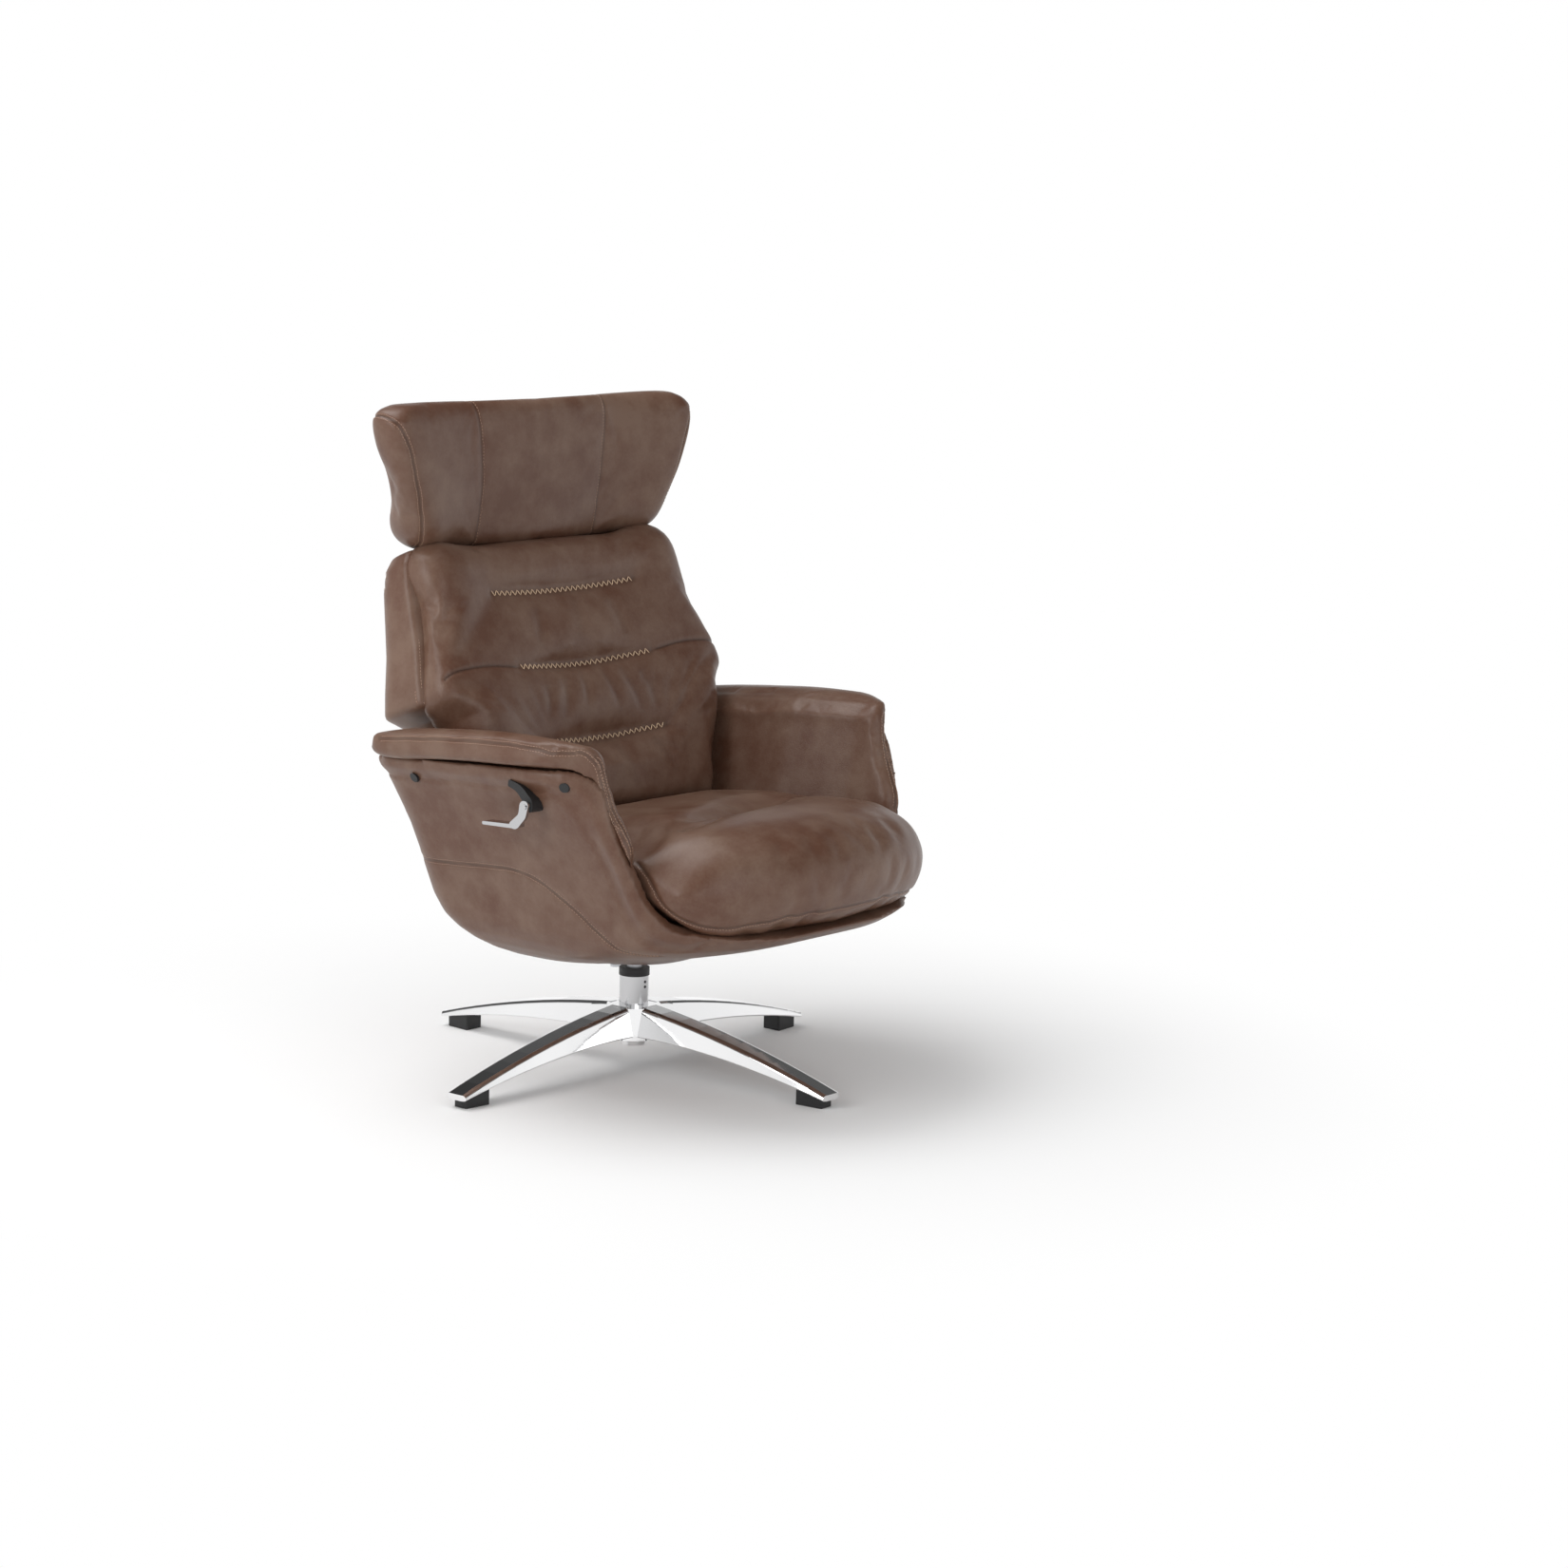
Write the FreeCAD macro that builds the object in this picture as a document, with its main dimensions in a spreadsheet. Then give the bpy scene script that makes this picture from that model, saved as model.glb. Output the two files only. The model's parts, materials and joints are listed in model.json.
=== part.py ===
import FreeCAD, Part, Sketcher
import os
from math import atan2, cos, degrees, hypot, radians, sin, tan

# Swivel lounge recliner, millimetres, +Z up.
# Origin: on the floor, on the swivel axis. The sitter faces -Y, the release lever is on the -X side.

Vector = FreeCAD.Vector
Rotation = FreeCAD.Rotation
Placement = FreeCAD.Placement

doc = FreeCAD.newDocument("swivel_recliner")
sheet = doc.addObject("Spreadsheet::Sheet", "Sizes")

# Driving sizes, each written once
SIZES = [
    # star base
    ("arm_count", 4),
    ("base_reach", 400),
    ("arm_root_top", 99),
    ("arm_tip_top", 23),
    ("arm_crown", 9),
    ("arm_root_depth", 46),
    ("arm_tip_depth", 9),
    ("arm_root_width", 60),
    ("arm_tip_width", 42),
    ("arm_side_draft", 9),
    ("casting_wall", 5),
    ("hub_radius", 46),
    ("hub_overlap", 13),
    ("hub_step", 1),
    ("hub_bottom", 48),
    ("nub_radius", 19),
    ("nub_bottom", 34),
    ("glide_length", 52),
    ("glide_width", 34),
    ("glide_screw_radius", 2.5),
    ("glide_screw_recess", 5),
    # column
    ("sleeve_radius", 22.8),
    ("sleeve_wall", 5.8),
    ("sleeve_bottom", 50),
    ("sleeve_top", 145),
    ("collar_radius", 24),
    ("collar_height", 12),
    ("post_radius", 12),
    ("bush_length", 25),
    ("running_gap", 0.05),
    ("touch_gap", 0.3),
    ("thrust_thickness", 3),
    ("flange_thickness", 5),
    ("clip_thickness", 1.6),
    ("washer_thickness", 1.5),
    ("clip_recess", 7),
    ("set_screw_radius", 2.2),
    # tub and arms
    ("tub_bottom", 174),
    ("tub_half_width", 387),
    ("tub_wall", 18),
    ("tub_rear_wall_top", 272),
    ("rear_gap_half_width", 262),
    ("rim_rear", 508),
    ("rim_front", 530),
    ("knee_place", -218),
    ("knee_radius", 58),
    ("pad_overhang", 4),
    ("groove_width", 4),
    ("arm_thickness", 98),
    ("arm_bottom", 330),
    ("arm_rear", 196),
    ("cap_radius", 7),
    ("cap_thickness", 3),
    # mounting plate and chassis
    ("plate_length", 160),
    ("plate_width", 96),
    ("plate_thickness", 8),
    ("bolt_spacing_across", 130),
    ("bolt_spacing_along", 34),
    ("bolt_radius", 4),
    ("bolt_head", 4),
    ("boss_radius", 26),
    ("boss_height", 30),
    ("cross_bar_place", 38),
    ("cross_bar_width", 18),
    ("cross_bar_height", 38),
    ("beam_place", 150),
    ("beam_width", 26),
    ("beam_height", 16),
    ("beam_front", -190),
    ("beam_rear", 90),
    ("rail_width", 26),
    ("rail_height", 20),
    ("rail_wall", 3),
    ("rail_slot", 14),
    ("slide_gap", 0.4),
    ("runner_length", 170),
    ("runner_place", -70),
    # pivots and gas spring
    ("pivot_back", 75),
    ("pivot_height", 332),
    ("back_lean", 21),
    ("recline_range", 25),
    ("drive_arm", 70),
    ("pin_radius", 5),
    ("bracket_thickness", 6),
    ("side_gap", 1),
    ("slot_gap", 0.2),
    ("drive_plate_bottom", 250),
    ("drive_plate_front", -100),
    ("spring_radius", 9),
    ("spring_length", 135),
    ("spring_front", -180),
    ("rod_radius", 4),
    ("rod_length", 135),
    ("rod_anchor", 0),
    # seat
    ("seat_half_width", 284),
    ("seat_front", -450),
    ("seat_base", 282),
    ("seat_crown", 447),
    ("seat_rear_top", 418),
    ("seat_bow", 110),
    ("seat_lip", 5),
    ("channel_place", -205),
    ("channel_radius", 30),
    ("pan_thickness", 10),
    ("pan_half_width", 225),
    ("pan_front", -300),
    ("pan_rear", 10),
    # back
    ("back_top", 496),
    ("back_half_width", 332),
    ("back_seam", 15),
    ("tuft_front", 61.5),
    ("tuft_radius", 24),
    ("tuft_pitch", 120),
    ("tuft_first", 172),
    ("tuft_half_length", 190),
    ("cover_wall", 5),
    ("board_thickness", 12),
    ("board_half_width", 205),
    ("board_low", 50),
    ("board_corner", 40),
    ("frame_depth", 20),
    ("frame_width", 18),
    ("guide_place", 60),
    ("guide_wall", 2.5),
    ("guide_low", 280),
    ("stem_radius", 6),
    ("stem_low", 330),
    ("stem_rise", 14),
    # headrest
    ("head_pivot_back", 258),
    ("head_pivot_height", 850),
    ("head_bottom", 809),
    ("head_rise", 225),
    ("head_half_width", 349),
    ("hinge_pin_radius", 4),
    ("yoke_radius", 7),
    ("yoke_width", 8),
    ("core_thickness", 5),
    ("core_depth", 24),
    # lever
    ("lever_back", -121),
    ("lever_height", 471),
    ("lever_set_in", 5),
    ("lever_reach", 84),
    ("lever_width", 20),
    ("lever_arm_thickness", 6),
    ("lever_pin_radius", 4),
]
for row, (alias, value) in enumerate(SIZES, start=1):
    sheet.set(f"A{row}", alias)
    sheet.set(f"B{row}", str(value))
    sheet.setAlias(f"B{row}", alias)
doc.recompute()


def size(name):
    """The value of one driving size."""
    return float(sheet.get(name))


def bind(thing, **expressions):
    """Bind properties to expressions; a double underscore stands for a dot."""
    for name, expression in expressions.items():
        thing.setExpression(name.replace("__", "."), expression)
    return thing


def place(thing, x="0", y="0", z="0"):
    return bind(thing, Placement__Base__x=x, Placement__Base__y=y, Placement__Base__z=z)


def box(label, length, width, height, x="0", y="0", z="0"):
    """A box centred on x and y, standing on z."""
    thing = doc.addObject("Part::Box", label)
    bind(thing, Length=length, Width=width, Height=height)
    return place(thing, f"({x}) - ({length}) / 2", f"({y}) - ({width}) / 2", z)


TURNS = {
    "x": Rotation(Vector(0, 1, 0), 90),
    "y": Rotation(Vector(1, 0, 0), -90),
    "z": Rotation(),
}


def rod(label, radius, length, x="0", y="0", z="0", along="z"):
    """A cylinder that starts at x, y, z and runs along one axis."""
    thing = doc.addObject("Part::Cylinder", label)
    thing.Placement = Placement(Vector(), TURNS[along])
    bind(thing, Radius=radius, Height=length)
    return place(thing, x, y, z)


def cut(label, base, tool):
    thing = doc.addObject("Part::Cut", label)
    thing.Base = base
    thing.Tool = tool
    return thing


def fuse(label, pieces):
    thing = doc.addObject("Part::MultiFuse", label)
    thing.Shapes = pieces
    return thing


def compound(label, pieces):
    thing = doc.addObject("Part::Compound", label)
    thing.Links = pieces
    return thing


def solid(label, shape, placement=None):
    """A shape made from the sheet's sizes by Part's own functions."""
    thing = doc.addObject("Part::Feature", label)
    thing.Shape = shape
    if placement:
        thing.Placement = placement
    return thing


def profile_body(label, corners, plane="XZ_Plane"):
    """A body with one closed sketch, whose corners are bound to expressions."""
    body = doc.addObject("PartDesign::Body", label)
    origin_plane = [item for item in body.Origin.OriginFeatures if item.Role == plane][0]
    sketch = body.newObject("Sketcher::SketchObject", f"{label}_profile")
    sketch.AttachmentSupport = (origin_plane, [""])
    sketch.MapMode = "FlatFace"
    count = len(corners)
    guess = [(60 * cos(radians(360 * k / count)), 60 * sin(radians(360 * k / count))) for k in range(count)]
    for k in range(count):
        start = Vector(*guess[k], 0)
        end = Vector(*guess[(k + 1) % count], 0)
        sketch.addGeometry(Part.LineSegment(start, end), False)
    for k in range(count):
        sketch.addConstraint(Sketcher.Constraint("Coincident", k, 2, (k + 1) % count, 1))
    for k, (across, up) in enumerate(corners):
        for kind, expression, value in (("DistanceX", across, guess[k][0]), ("DistanceY", up, guess[k][1])):
            index = sketch.addConstraint(Sketcher.Constraint(kind, k, 1, value))
            sketch.setExpression(f"Constraints[{index}]", expression)
    return body, sketch


def revolved(label, corners):
    """A turned piece: its half section is given as radius and height."""
    body, sketch = profile_body(label, corners)
    turn = body.newObject("PartDesign::Revolution", f"{label}_turned")
    turn.Profile = sketch
    turn.ReferenceAxis = (sketch, ["V_Axis"])
    turn.Angle = 360
    body.Tip = turn
    return body


def padded(label, corners, length, plane="XZ_Plane"):
    """A straight piece: its section padded evenly to both sides of the plane."""
    body, sketch = profile_body(label, corners, plane)
    pad = body.newObject("PartDesign::Pad", f"{label}_pad")
    pad.Profile = sketch
    pad.Midplane = True
    pad.setExpression("Length", length)
    body.Tip = pad
    return body


def rounded_wire(corners, to_space):
    """A closed wire through (u, v, radius) corners: straight runs joined by tangent arcs."""
    count = len(corners)
    stops = []
    for k, (u, v, radius) in enumerate(corners):
        before = corners[k - 1]
        after = corners[(k + 1) % count]
        into = (u - before[0], v - before[1])
        out = (after[0] - u, after[1] - v)
        into_length = hypot(*into)
        out_length = hypot(*out)
        into = (into[0] / into_length, into[1] / into_length)
        out = (out[0] / out_length, out[1] / out_length)
        turn = atan2(into[0] * out[1] - into[1] * out[0], into[0] * out[0] + into[1] * out[1])
        back_off = min(radius * tan(abs(turn) / 2), 0.49 * into_length, 0.49 * out_length)
        real_radius = back_off / tan(abs(turn) / 2)
        start = (u - into[0] * back_off, v - into[1] * back_off)
        end = (u + out[0] * back_off, v + out[1] * back_off)
        towards = (out[0] - into[0], out[1] - into[1])
        reach = hypot(*towards)
        depth = real_radius / cos(turn / 2) - real_radius
        middle = (u + towards[0] / reach * depth, v + towards[1] / reach * depth)
        stops.append((start, middle, end))
    edges = []
    for k, (start, middle, end) in enumerate(stops):
        edges.append(Part.Arc(to_space(*start), to_space(*middle), to_space(*end)).toShape())
        following = stops[(k + 1) % count][0]
        edges.append(Part.LineSegment(to_space(*end), to_space(*following)).toShape())
    return Part.Wire(edges)


def loft(wires):
    """A solid through closed wires, straight from each wire to the next."""
    shape = Part.makeLoft(wires, True, True)
    if shape.Volume < 0:
        shape.reverse()
    return shape


def even_rows(rows, count):
    """Rows of a table, read again at even steps along its length, without overshooting its values."""
    places = [0]
    for before, after in zip(rows, rows[1:]):
        places.append(places[-1] + sum(abs(b - a) for a, b in zip(before[:3], after[:3])))
    result = []
    for k in range(count):
        place_now = places[-1] * k / (count - 1)
        index = max(i for i in range(len(rows) - 1) if places[i] <= place_now + 1e-9)
        share = (place_now - places[index]) / (places[index + 1] - places[index])
        result.append([])
        for column in range(len(rows[0])):
            values = [row[column] for row in rows]
            slopes = [monotone_slope(places, values, i) for i in (index, index + 1)]
            result[-1].append(hermite(values[index], values[index + 1], slopes, places[index + 1] - places[index], share))
    return result


def monotone_slope(places, values, index):
    """A slope at one row that keeps the curve between its neighbours."""
    if index in (0, len(values) - 1):
        near = 0 if index == 0 else index - 1
        return (values[near + 1] - values[near]) / (places[near + 1] - places[near])
    before = (values[index] - values[index - 1]) / (places[index] - places[index - 1])
    after = (values[index + 1] - values[index]) / (places[index + 1] - places[index])
    if before * after <= 0:
        return 0
    return 2 * before * after / (before + after)


def hermite(low, high, slopes, length, share):
    square = share * share
    cube = square * share
    value = (2 * cube - 3 * square + 1) * low + (3 * square - 2 * cube) * high
    return value + length * ((cube - 2 * square + share) * slopes[0] + (cube - square) * slopes[1])


def extruded_side(corners, low, high):
    """A (y, z, radius) outline seen from the side, extruded from x = low to x = high."""
    wire = rounded_wire(corners, lambda y, z: Vector(low, y, z))
    return Part.Face(wire).extrude(Vector(high - low, 0, 0))


def mirrored(shape):
    return shape.mirror(Vector(), Vector(1, 0, 0))


def block(x_low, x_high, y_low, y_high, z_low, z_high):
    corner = Vector(x_low, y_low, z_low)
    return Part.makeBox(x_high - x_low, y_high - y_low, z_high - z_low, corner)


# Star base

def arm_section(share, inset, drop):
    """A cross section of one arm, from the hub (0) to the tip (1)."""
    root = size("hub_radius") - size("hub_overlap")
    x = root + (size("base_reach") - root) * share
    straight_top = size("arm_root_top") + (size("arm_tip_top") - size("arm_root_top")) * share
    top = straight_top + size("arm_crown") * 4 * share * (1 - share) - inset
    half_low = (size("arm_root_width") + (size("arm_tip_width") - size("arm_root_width")) * share) / 2 - inset
    half_top = half_low - size("arm_side_draft") * (1 - 0.6 * share)
    low = top + inset - arm_depth(share) - drop
    corners = [(-half_low, low, 2), (half_low, low, 2), (half_top, top, 7), (-half_top, top, 7)]
    return rounded_wire(corners, lambda y, z: Vector(x, y, z))


def arm_depth(share):
    return size("arm_root_depth") + (size("arm_tip_depth") - size("arm_root_depth")) * share ** 0.85


def star_arm():
    """One cast arm along +X, hollow below from the hub to the glide, with a rounded tip."""
    outer = loft([arm_section(k / 10, 0, 0) for k in range(11)])
    inner = loft([arm_section(0.08 + 0.12 * k, size("casting_wall"), 30) for k in range(7)])
    reach = size("base_reach")
    tip = [(0, -60, 1), (reach - 18, -60, 1), (reach, -13, 14), (reach, 13, 14), (reach - 18, 60, 1), (0, 60, 1)]
    plan = Part.Face(rounded_wire(tip, lambda x, y: Vector(x, y, 0))).extrude(Vector(0, 0, 200))
    return outer.cut(inner).common(plan)


def around_base(shape):
    """One copy of a shape for each arm."""
    copies = []
    for k in range(int(size("arm_count"))):
        copy = shape.copy()
        copy.rotate(Vector(), Vector(0, 0, 1), 360 / size("arm_count") * k)
        copies.append(copy)
    return copies


def glide_place():
    return size("base_reach") - size("glide_length") / 2 - 6


def star_base():
    hub_height = size("arm_root_top") - size("hub_step") - size("hub_bottom")
    hub = Part.makeCone(size("hub_radius"), size("hub_radius") - 4, hub_height, Vector(0, 0, size("hub_bottom")))
    body = hub
    for arm in around_base(star_arm()):
        body = body.fuse(arm)
    nub_height = size("hub_bottom") - size("nub_bottom")
    nub = Part.makeCylinder(size("nub_radius"), nub_height, Vector(0, 0, size("nub_bottom")))
    body = body.fuse(nub)
    bore = Part.makeCylinder(size("sleeve_radius"), 100, Vector(0, 0, size("sleeve_bottom")))
    low_bore = Part.makeCylinder(size("post_radius") + 1, 100, Vector(0, 0, 0))
    seat_top = size("nub_bottom") + size("clip_recess")
    recess = Part.makeCylinder(size("nub_radius") - 3, seat_top, Vector(0, 0, 0))
    screw = Part.makeCylinder(size("glide_screw_radius"), glide_screw_top(), Vector(glide_place(), 0, 0))
    for tool in [bore, low_bore, recess] + around_base(screw):
        body = body.cut(tool)
    return body


def underside_height(x):
    """Height of an arm's lower edge at a distance from the axis."""
    root = size("hub_radius") - size("hub_overlap")
    share = (x - root) / (size("base_reach") - root)
    straight_top = size("arm_root_top") + (size("arm_tip_top") - size("arm_root_top")) * share
    return straight_top + size("arm_crown") * 4 * share * (1 - share) - arm_depth(share)


def glide_screw_top():
    return underside_height(glide_place()) + size("casting_wall")


def glide():
    """A plastic block under the tip, its top cut to the arm's slope."""
    middle = glide_place()
    inner = middle - size("glide_length") / 2
    outer = middle + size("glide_length") / 2
    half = size("glide_width") / 2
    side = [
        (inner, 0, 2),
        (outer - 3, 0, 4),
        (outer, underside_height(outer) - size("touch_gap"), 1),
        (inner, underside_height(inner) - size("touch_gap"), 1),
    ]
    body = Part.Face(rounded_wire(side, lambda x, z: Vector(x, -half, z))).extrude(Vector(0, 2 * half, 0))
    plan = [(inner, -half, 3), (outer, -half + 5, 12), (outer, half - 5, 12), (inner, half, 3)]
    body = body.common(Part.Face(rounded_wire(plan, lambda x, y: Vector(x, y, -1))).extrude(Vector(0, 0, 80)))
    hole = Part.makeCylinder(size("glide_screw_radius"), 80, Vector(middle, 0, size("glide_screw_recess")))
    recess = Part.makeCylinder(size("glide_screw_radius") * 2, size("glide_screw_recess"), Vector(middle, 0, 0))
    return body.cut(hole).cut(recess)


solid("star_base", star_base())
for k, side in enumerate(["left", "rear", "right", "front"]):
    turned = Placement(Vector(), Rotation(Vector(0, 0, 1), 360 / size("arm_count") * k))
    solid(f"glide_{side}", glide(), turned)
shank_low = Vector(glide_place(), 0, size("glide_screw_recess"))
shank_length = glide_screw_top() - size("glide_screw_recess")
solid("glide_screws", Part.makeCompound(around_base(Part.makeCylinder(size("glide_screw_radius"), shank_length, shank_low))))


# Column: sleeve, bushes, thrust washer and collar, turned about the swivel axis

SLEEVE_BORE = "(Sizes.sleeve_radius - Sizes.sleeve_wall)"
BUSH_BORE = "(Sizes.post_radius + Sizes.running_gap)"
THRUST_LOW = "(Sizes.sleeve_bottom + Sizes.bush_length)"
THRUST_HIGH = f"({THRUST_LOW} + Sizes.thrust_thickness)"
FLANGE_RADIUS = f"({SLEEVE_BORE} - 0.5)"
POST_TOP = "(Sizes.tub_bottom + Sizes.tub_wall + Sizes.plate_thickness + Sizes.boss_height)"


def ring(label, inner, outer, low, high):
    return revolved(label, [(inner, low), (outer, low), (outer, high), (inner, high)])


sleeve_tube = ring("sleeve_tube", SLEEVE_BORE, "Sizes.sleeve_radius", "Sizes.sleeve_bottom", "Sizes.sleeve_top")
ring("lower_bush", BUSH_BORE, SLEEVE_BORE, "Sizes.sleeve_bottom", THRUST_LOW)
ring("upper_bush", BUSH_BORE, SLEEVE_BORE, "Sizes.sleeve_top - Sizes.bush_length", "Sizes.sleeve_top")
ring("thrust_washer", BUSH_BORE, FLANGE_RADIUS, THRUST_LOW, THRUST_HIGH)
COLLAR_TOP = "Sizes.sleeve_top + Sizes.collar_height"
ring("column_collar", "Sizes.post_radius + 0.5", "Sizes.collar_radius", "Sizes.sleeve_top", COLLAR_TOP)

# Two set screws through the sleeve's front bear on the upper bush
set_screws = []
screw_holes = []
for label, height in (("upper_set_screw", "Sizes.sleeve_top - 9"), ("lower_set_screw", "Sizes.sleeve_top - 17")):
    length = "Sizes.sleeve_wall + 0.5"
    set_screws.append(rod(label, "Sizes.set_screw_radius", length, "0", "-Sizes.sleeve_radius - 0.5", height, "y"))
    hole = rod(f"{label}_hole", "Sizes.set_screw_radius", f"{length} + 2", "0", "-Sizes.sleeve_radius - 2.5", height, "y")
    screw_holes.append(hole)
blind_end = ring("screw_hole_end", "0", SLEEVE_BORE, "Sizes.sleeve_bottom", "Sizes.sleeve_top")
compound("sleeve_set_screws", [cut("set_screw_pair", fuse("set_screw_shanks", set_screws), blind_end)])
cut("column_sleeve", sleeve_tube, fuse("set_screw_holes", screw_holes))

# Swivel post: its flange stands on the thrust washer, and a clip holds it down
revolved(
    "swivel_post",
    [
        ("0", "Sizes.nub_bottom - 1"),
        ("Sizes.post_radius", "Sizes.nub_bottom - 1"),
        ("Sizes.post_radius", THRUST_HIGH),
        (FLANGE_RADIUS, THRUST_HIGH),
        (FLANGE_RADIUS, f"{THRUST_HIGH} + Sizes.flange_thickness"),
        ("Sizes.post_radius", f"{THRUST_HIGH} + Sizes.flange_thickness"),
        ("Sizes.post_radius", POST_TOP),
        ("0", POST_TOP),
    ],
)
CLIP_LOW = "(Sizes.nub_bottom + Sizes.clip_recess - Sizes.touch_gap - Sizes.washer_thickness - Sizes.clip_thickness)"
CLIP_HIGH = f"({CLIP_LOW} + Sizes.clip_thickness)"
ring("post_clip", "Sizes.post_radius", "Sizes.nub_radius - 4", CLIP_LOW, CLIP_HIGH)
ring("post_washer", "Sizes.post_radius", "Sizes.nub_radius - 3.4", CLIP_HIGH, f"{CLIP_HIGH} + Sizes.washer_thickness")


# Tub: a bowl with a curved bottom and flaring sides

# rise over the bottom, half width, rear, front, all as measured on the middle lines
BOWL = [
    (0, 150, 70, -95),
    (7, 200, 88, -135),
    (18, 232, 102, -172),
    (34, 258, 119, -225),
    (54, 276, 137, -287),
    (76, 288, 156, -347),
    (101, 297, 172, -402),
    (126, 302, 183, -428),
    (171, 313, 192, -433),
    (221, 328, 201, -436),
    (266, 346, 211, -438),
    (312, 366, 222, -440),
    (356, 387, 232, -442),
    (401, 391, 240, -444),
]


def bowl(inset):
    """The tub's outside (0), its inside (the wall) or a skin around it (negative)."""
    stretch = size("tub_half_width") / 387
    wires = []
    for rise, half_width, y_rear, y_front in even_rows(BOWL, 16):
        height = size("tub_bottom") + rise + inset
        half = half_width * stretch - inset
        rear = y_rear - inset
        front = y_front + inset
        # under the arms the side runs on forward, at the rim it turns inward early
        turn = front + 95 + 195 * min(max((rise - 190) / 160, 0), 1)
        corners = [
            (half, turn, 125),
            (half, rear, 60),
            (-half, rear, 60),
            (-half, turn, 125),
            (-half * 0.5, front, 260),
            (half * 0.5, front, 260),
        ]
        wires.append(rounded_wire(corners, lambda x, y, z=height: Vector(x, y, z)))
    return loft(wires)


def below_rim(shift):
    """Everything under the rim line seen from the side; shift lifts the line."""
    outline = [
        (300, 60, 1),
        (300, 360, 30),
        (size("arm_rear") + 8, 430, 90),
        (size("arm_rear") + 8, size("rim_rear") + shift, 2),
        (size("knee_place") - shift * 0.4, size("rim_front") + shift, size("knee_radius") + shift),
        (size("knee_place") - 42 - shift, 400, 80),
        (size("knee_place") - 62 - shift, 340, 50),
        (size("knee_place") - 96, 298 + shift, 50),
        (-400, 280 + shift, 60),
        (-520, 262 + shift, 1),
        (-520, 60, 1),
    ]
    return extruded_side(outline, -520, 520)


outer_bowl = bowl(0)
inner_bowl = bowl(size("tub_wall"))


def bolt_places(spacing_across, spacing_along):
    for x in (-0.5, 0.5):
        for y in (-0.5, 0.5):
            yield x * spacing_across, y * spacing_along


def tub_shell():
    shell = outer_bowl.cut(inner_bowl).common(below_rim(0))
    half = size("rear_gap_half_width")
    low = size("tub_rear_wall_top")
    flare = (size("tub_half_width") - size("tub_wall") - 6 - half) / (size("rim_front") - low)
    gap = [(-half, low), (half, low), (half + 300 * flare, low + 300), (-half - 300 * flare, low + 300)]
    corners = [Vector(x, 60, z) for x, z in gap + gap[:1]]
    shell = shell.cut(Part.Face(Part.makePolygon(corners)).extrude(Vector(0, 400, 0)))
    tools = [Part.makeCylinder(size("post_radius") + 2.5, 60, Vector(0, 0, size("tub_bottom") - 5))]
    for x, y in bolt_places(size("bolt_spacing_across"), size("bolt_spacing_along")):
        tools.append(Part.makeCylinder(size("bolt_radius"), 60, Vector(x, y, size("tub_bottom") - 5)))
    for tool in tools + arm_bolt_solids():
        shell = shell.cut(tool)
    return shell


# Arms: a padded block inside each side wall, with a band that laps over the rim

ARM_BOLTS = [(123, 482), (-182, 505)]


def arm_bolt_solids():
    """Shanks from just inside the shell's outer face into the padded arms, on both sides."""
    shanks = []
    for y, z in ARM_BOLTS:
        low = size("tub_half_width") - 62
        shank = Part.makeCylinder(size("bolt_radius"), 90, Vector(low, y, z), Vector(1, 0, 0))
        shank = shank.common(outer_bowl)
        shanks += [shank, mirrored(shank)]
    return shanks


def arm_block():
    """The arm's body over its length: inner face leaning outward, rounded top."""
    wires = []
    inner_face = size("tub_half_width") - size("arm_thickness")
    beyond_shell = size("tub_half_width") + 73
    # place along y, crest height, inner face at the crest and at the bottom
    stations = [
        (-300, 574, 34, 25),
        (-186, 573, 30, 21),
        (-60, 570, 14, -8),
        (60, 560, 6, -20),
        (260, 540, 6, -20),
    ]
    for y, crest, inner_top, inner_low in stations:
        x_top = inner_face + inner_top
        x_low = inner_face - 28 + inner_low
        corners = [
            (x_low, size("arm_bottom"), 1),
            (beyond_shell, size("arm_bottom"), 1),
            (beyond_shell, crest - 30, 1),
            (size("tub_half_width") + size("pad_overhang"), crest, 26),
            (x_top, crest, 30),
            (x_top - 6, crest - 50, 60),
        ]
        wires.append(rounded_wire(corners, lambda x, z, y=y: Vector(x, y, z)))
    return loft(wires)


def left_arm():
    rear = size("arm_rear")
    side = [
        (rear + 2, 548, 26),
        (rear + 2, 500, 30),
        (rear - 40, 420, 60),
        (rear - 70, size("arm_bottom") + 10, 30),
        (size("knee_place") + 24, size("arm_bottom") + 10, 30),
        (size("knee_place") - 56, 386, 14),
        (size("knee_place") - 64, 418, 30),
        (size("knee_place") - 34, 480, 120),
        (size("knee_place") - 8, 577, size("knee_radius")),
        (size("knee_place") + 160, 592, 100),
        (20, 592, 100),
    ]
    half = size("tub_half_width")
    arm = arm_block().common(extruded_side(side, half - 187, half + 113))
    arm = arm.common(bowl(-size("pad_overhang")))
    under_rim = below_rim(size("groove_width")).cut(bowl(size("tub_wall") + size("touch_gap")))
    arm = arm.cut(under_rim)
    for shank in arm_bolt_solids():
        arm = arm.cut(shank)
    return arm


tub = tub_shell()
solid("tub_shell", tub)
arm = left_arm()
solid("arm_pad_left", arm)
solid("arm_pad_right", mirrored(arm))
solid("arm_bolts", Part.makeCompound(arm_bolt_solids()))


def arm_bolt_caps():
    """Black caps on the shell's outer face, over the arm bolts."""
    caps = []
    for y, z in ARM_BOLTS:
        cap = Part.makeCylinder(size("cap_radius"), 60, Vector(size("tub_half_width") - 60, y, z), Vector(1, 0, 0))
        cap = cap.common(bowl(-size("cap_thickness"))).cut(outer_bowl)
        caps += [cap, mirrored(cap)]
    return caps


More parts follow.
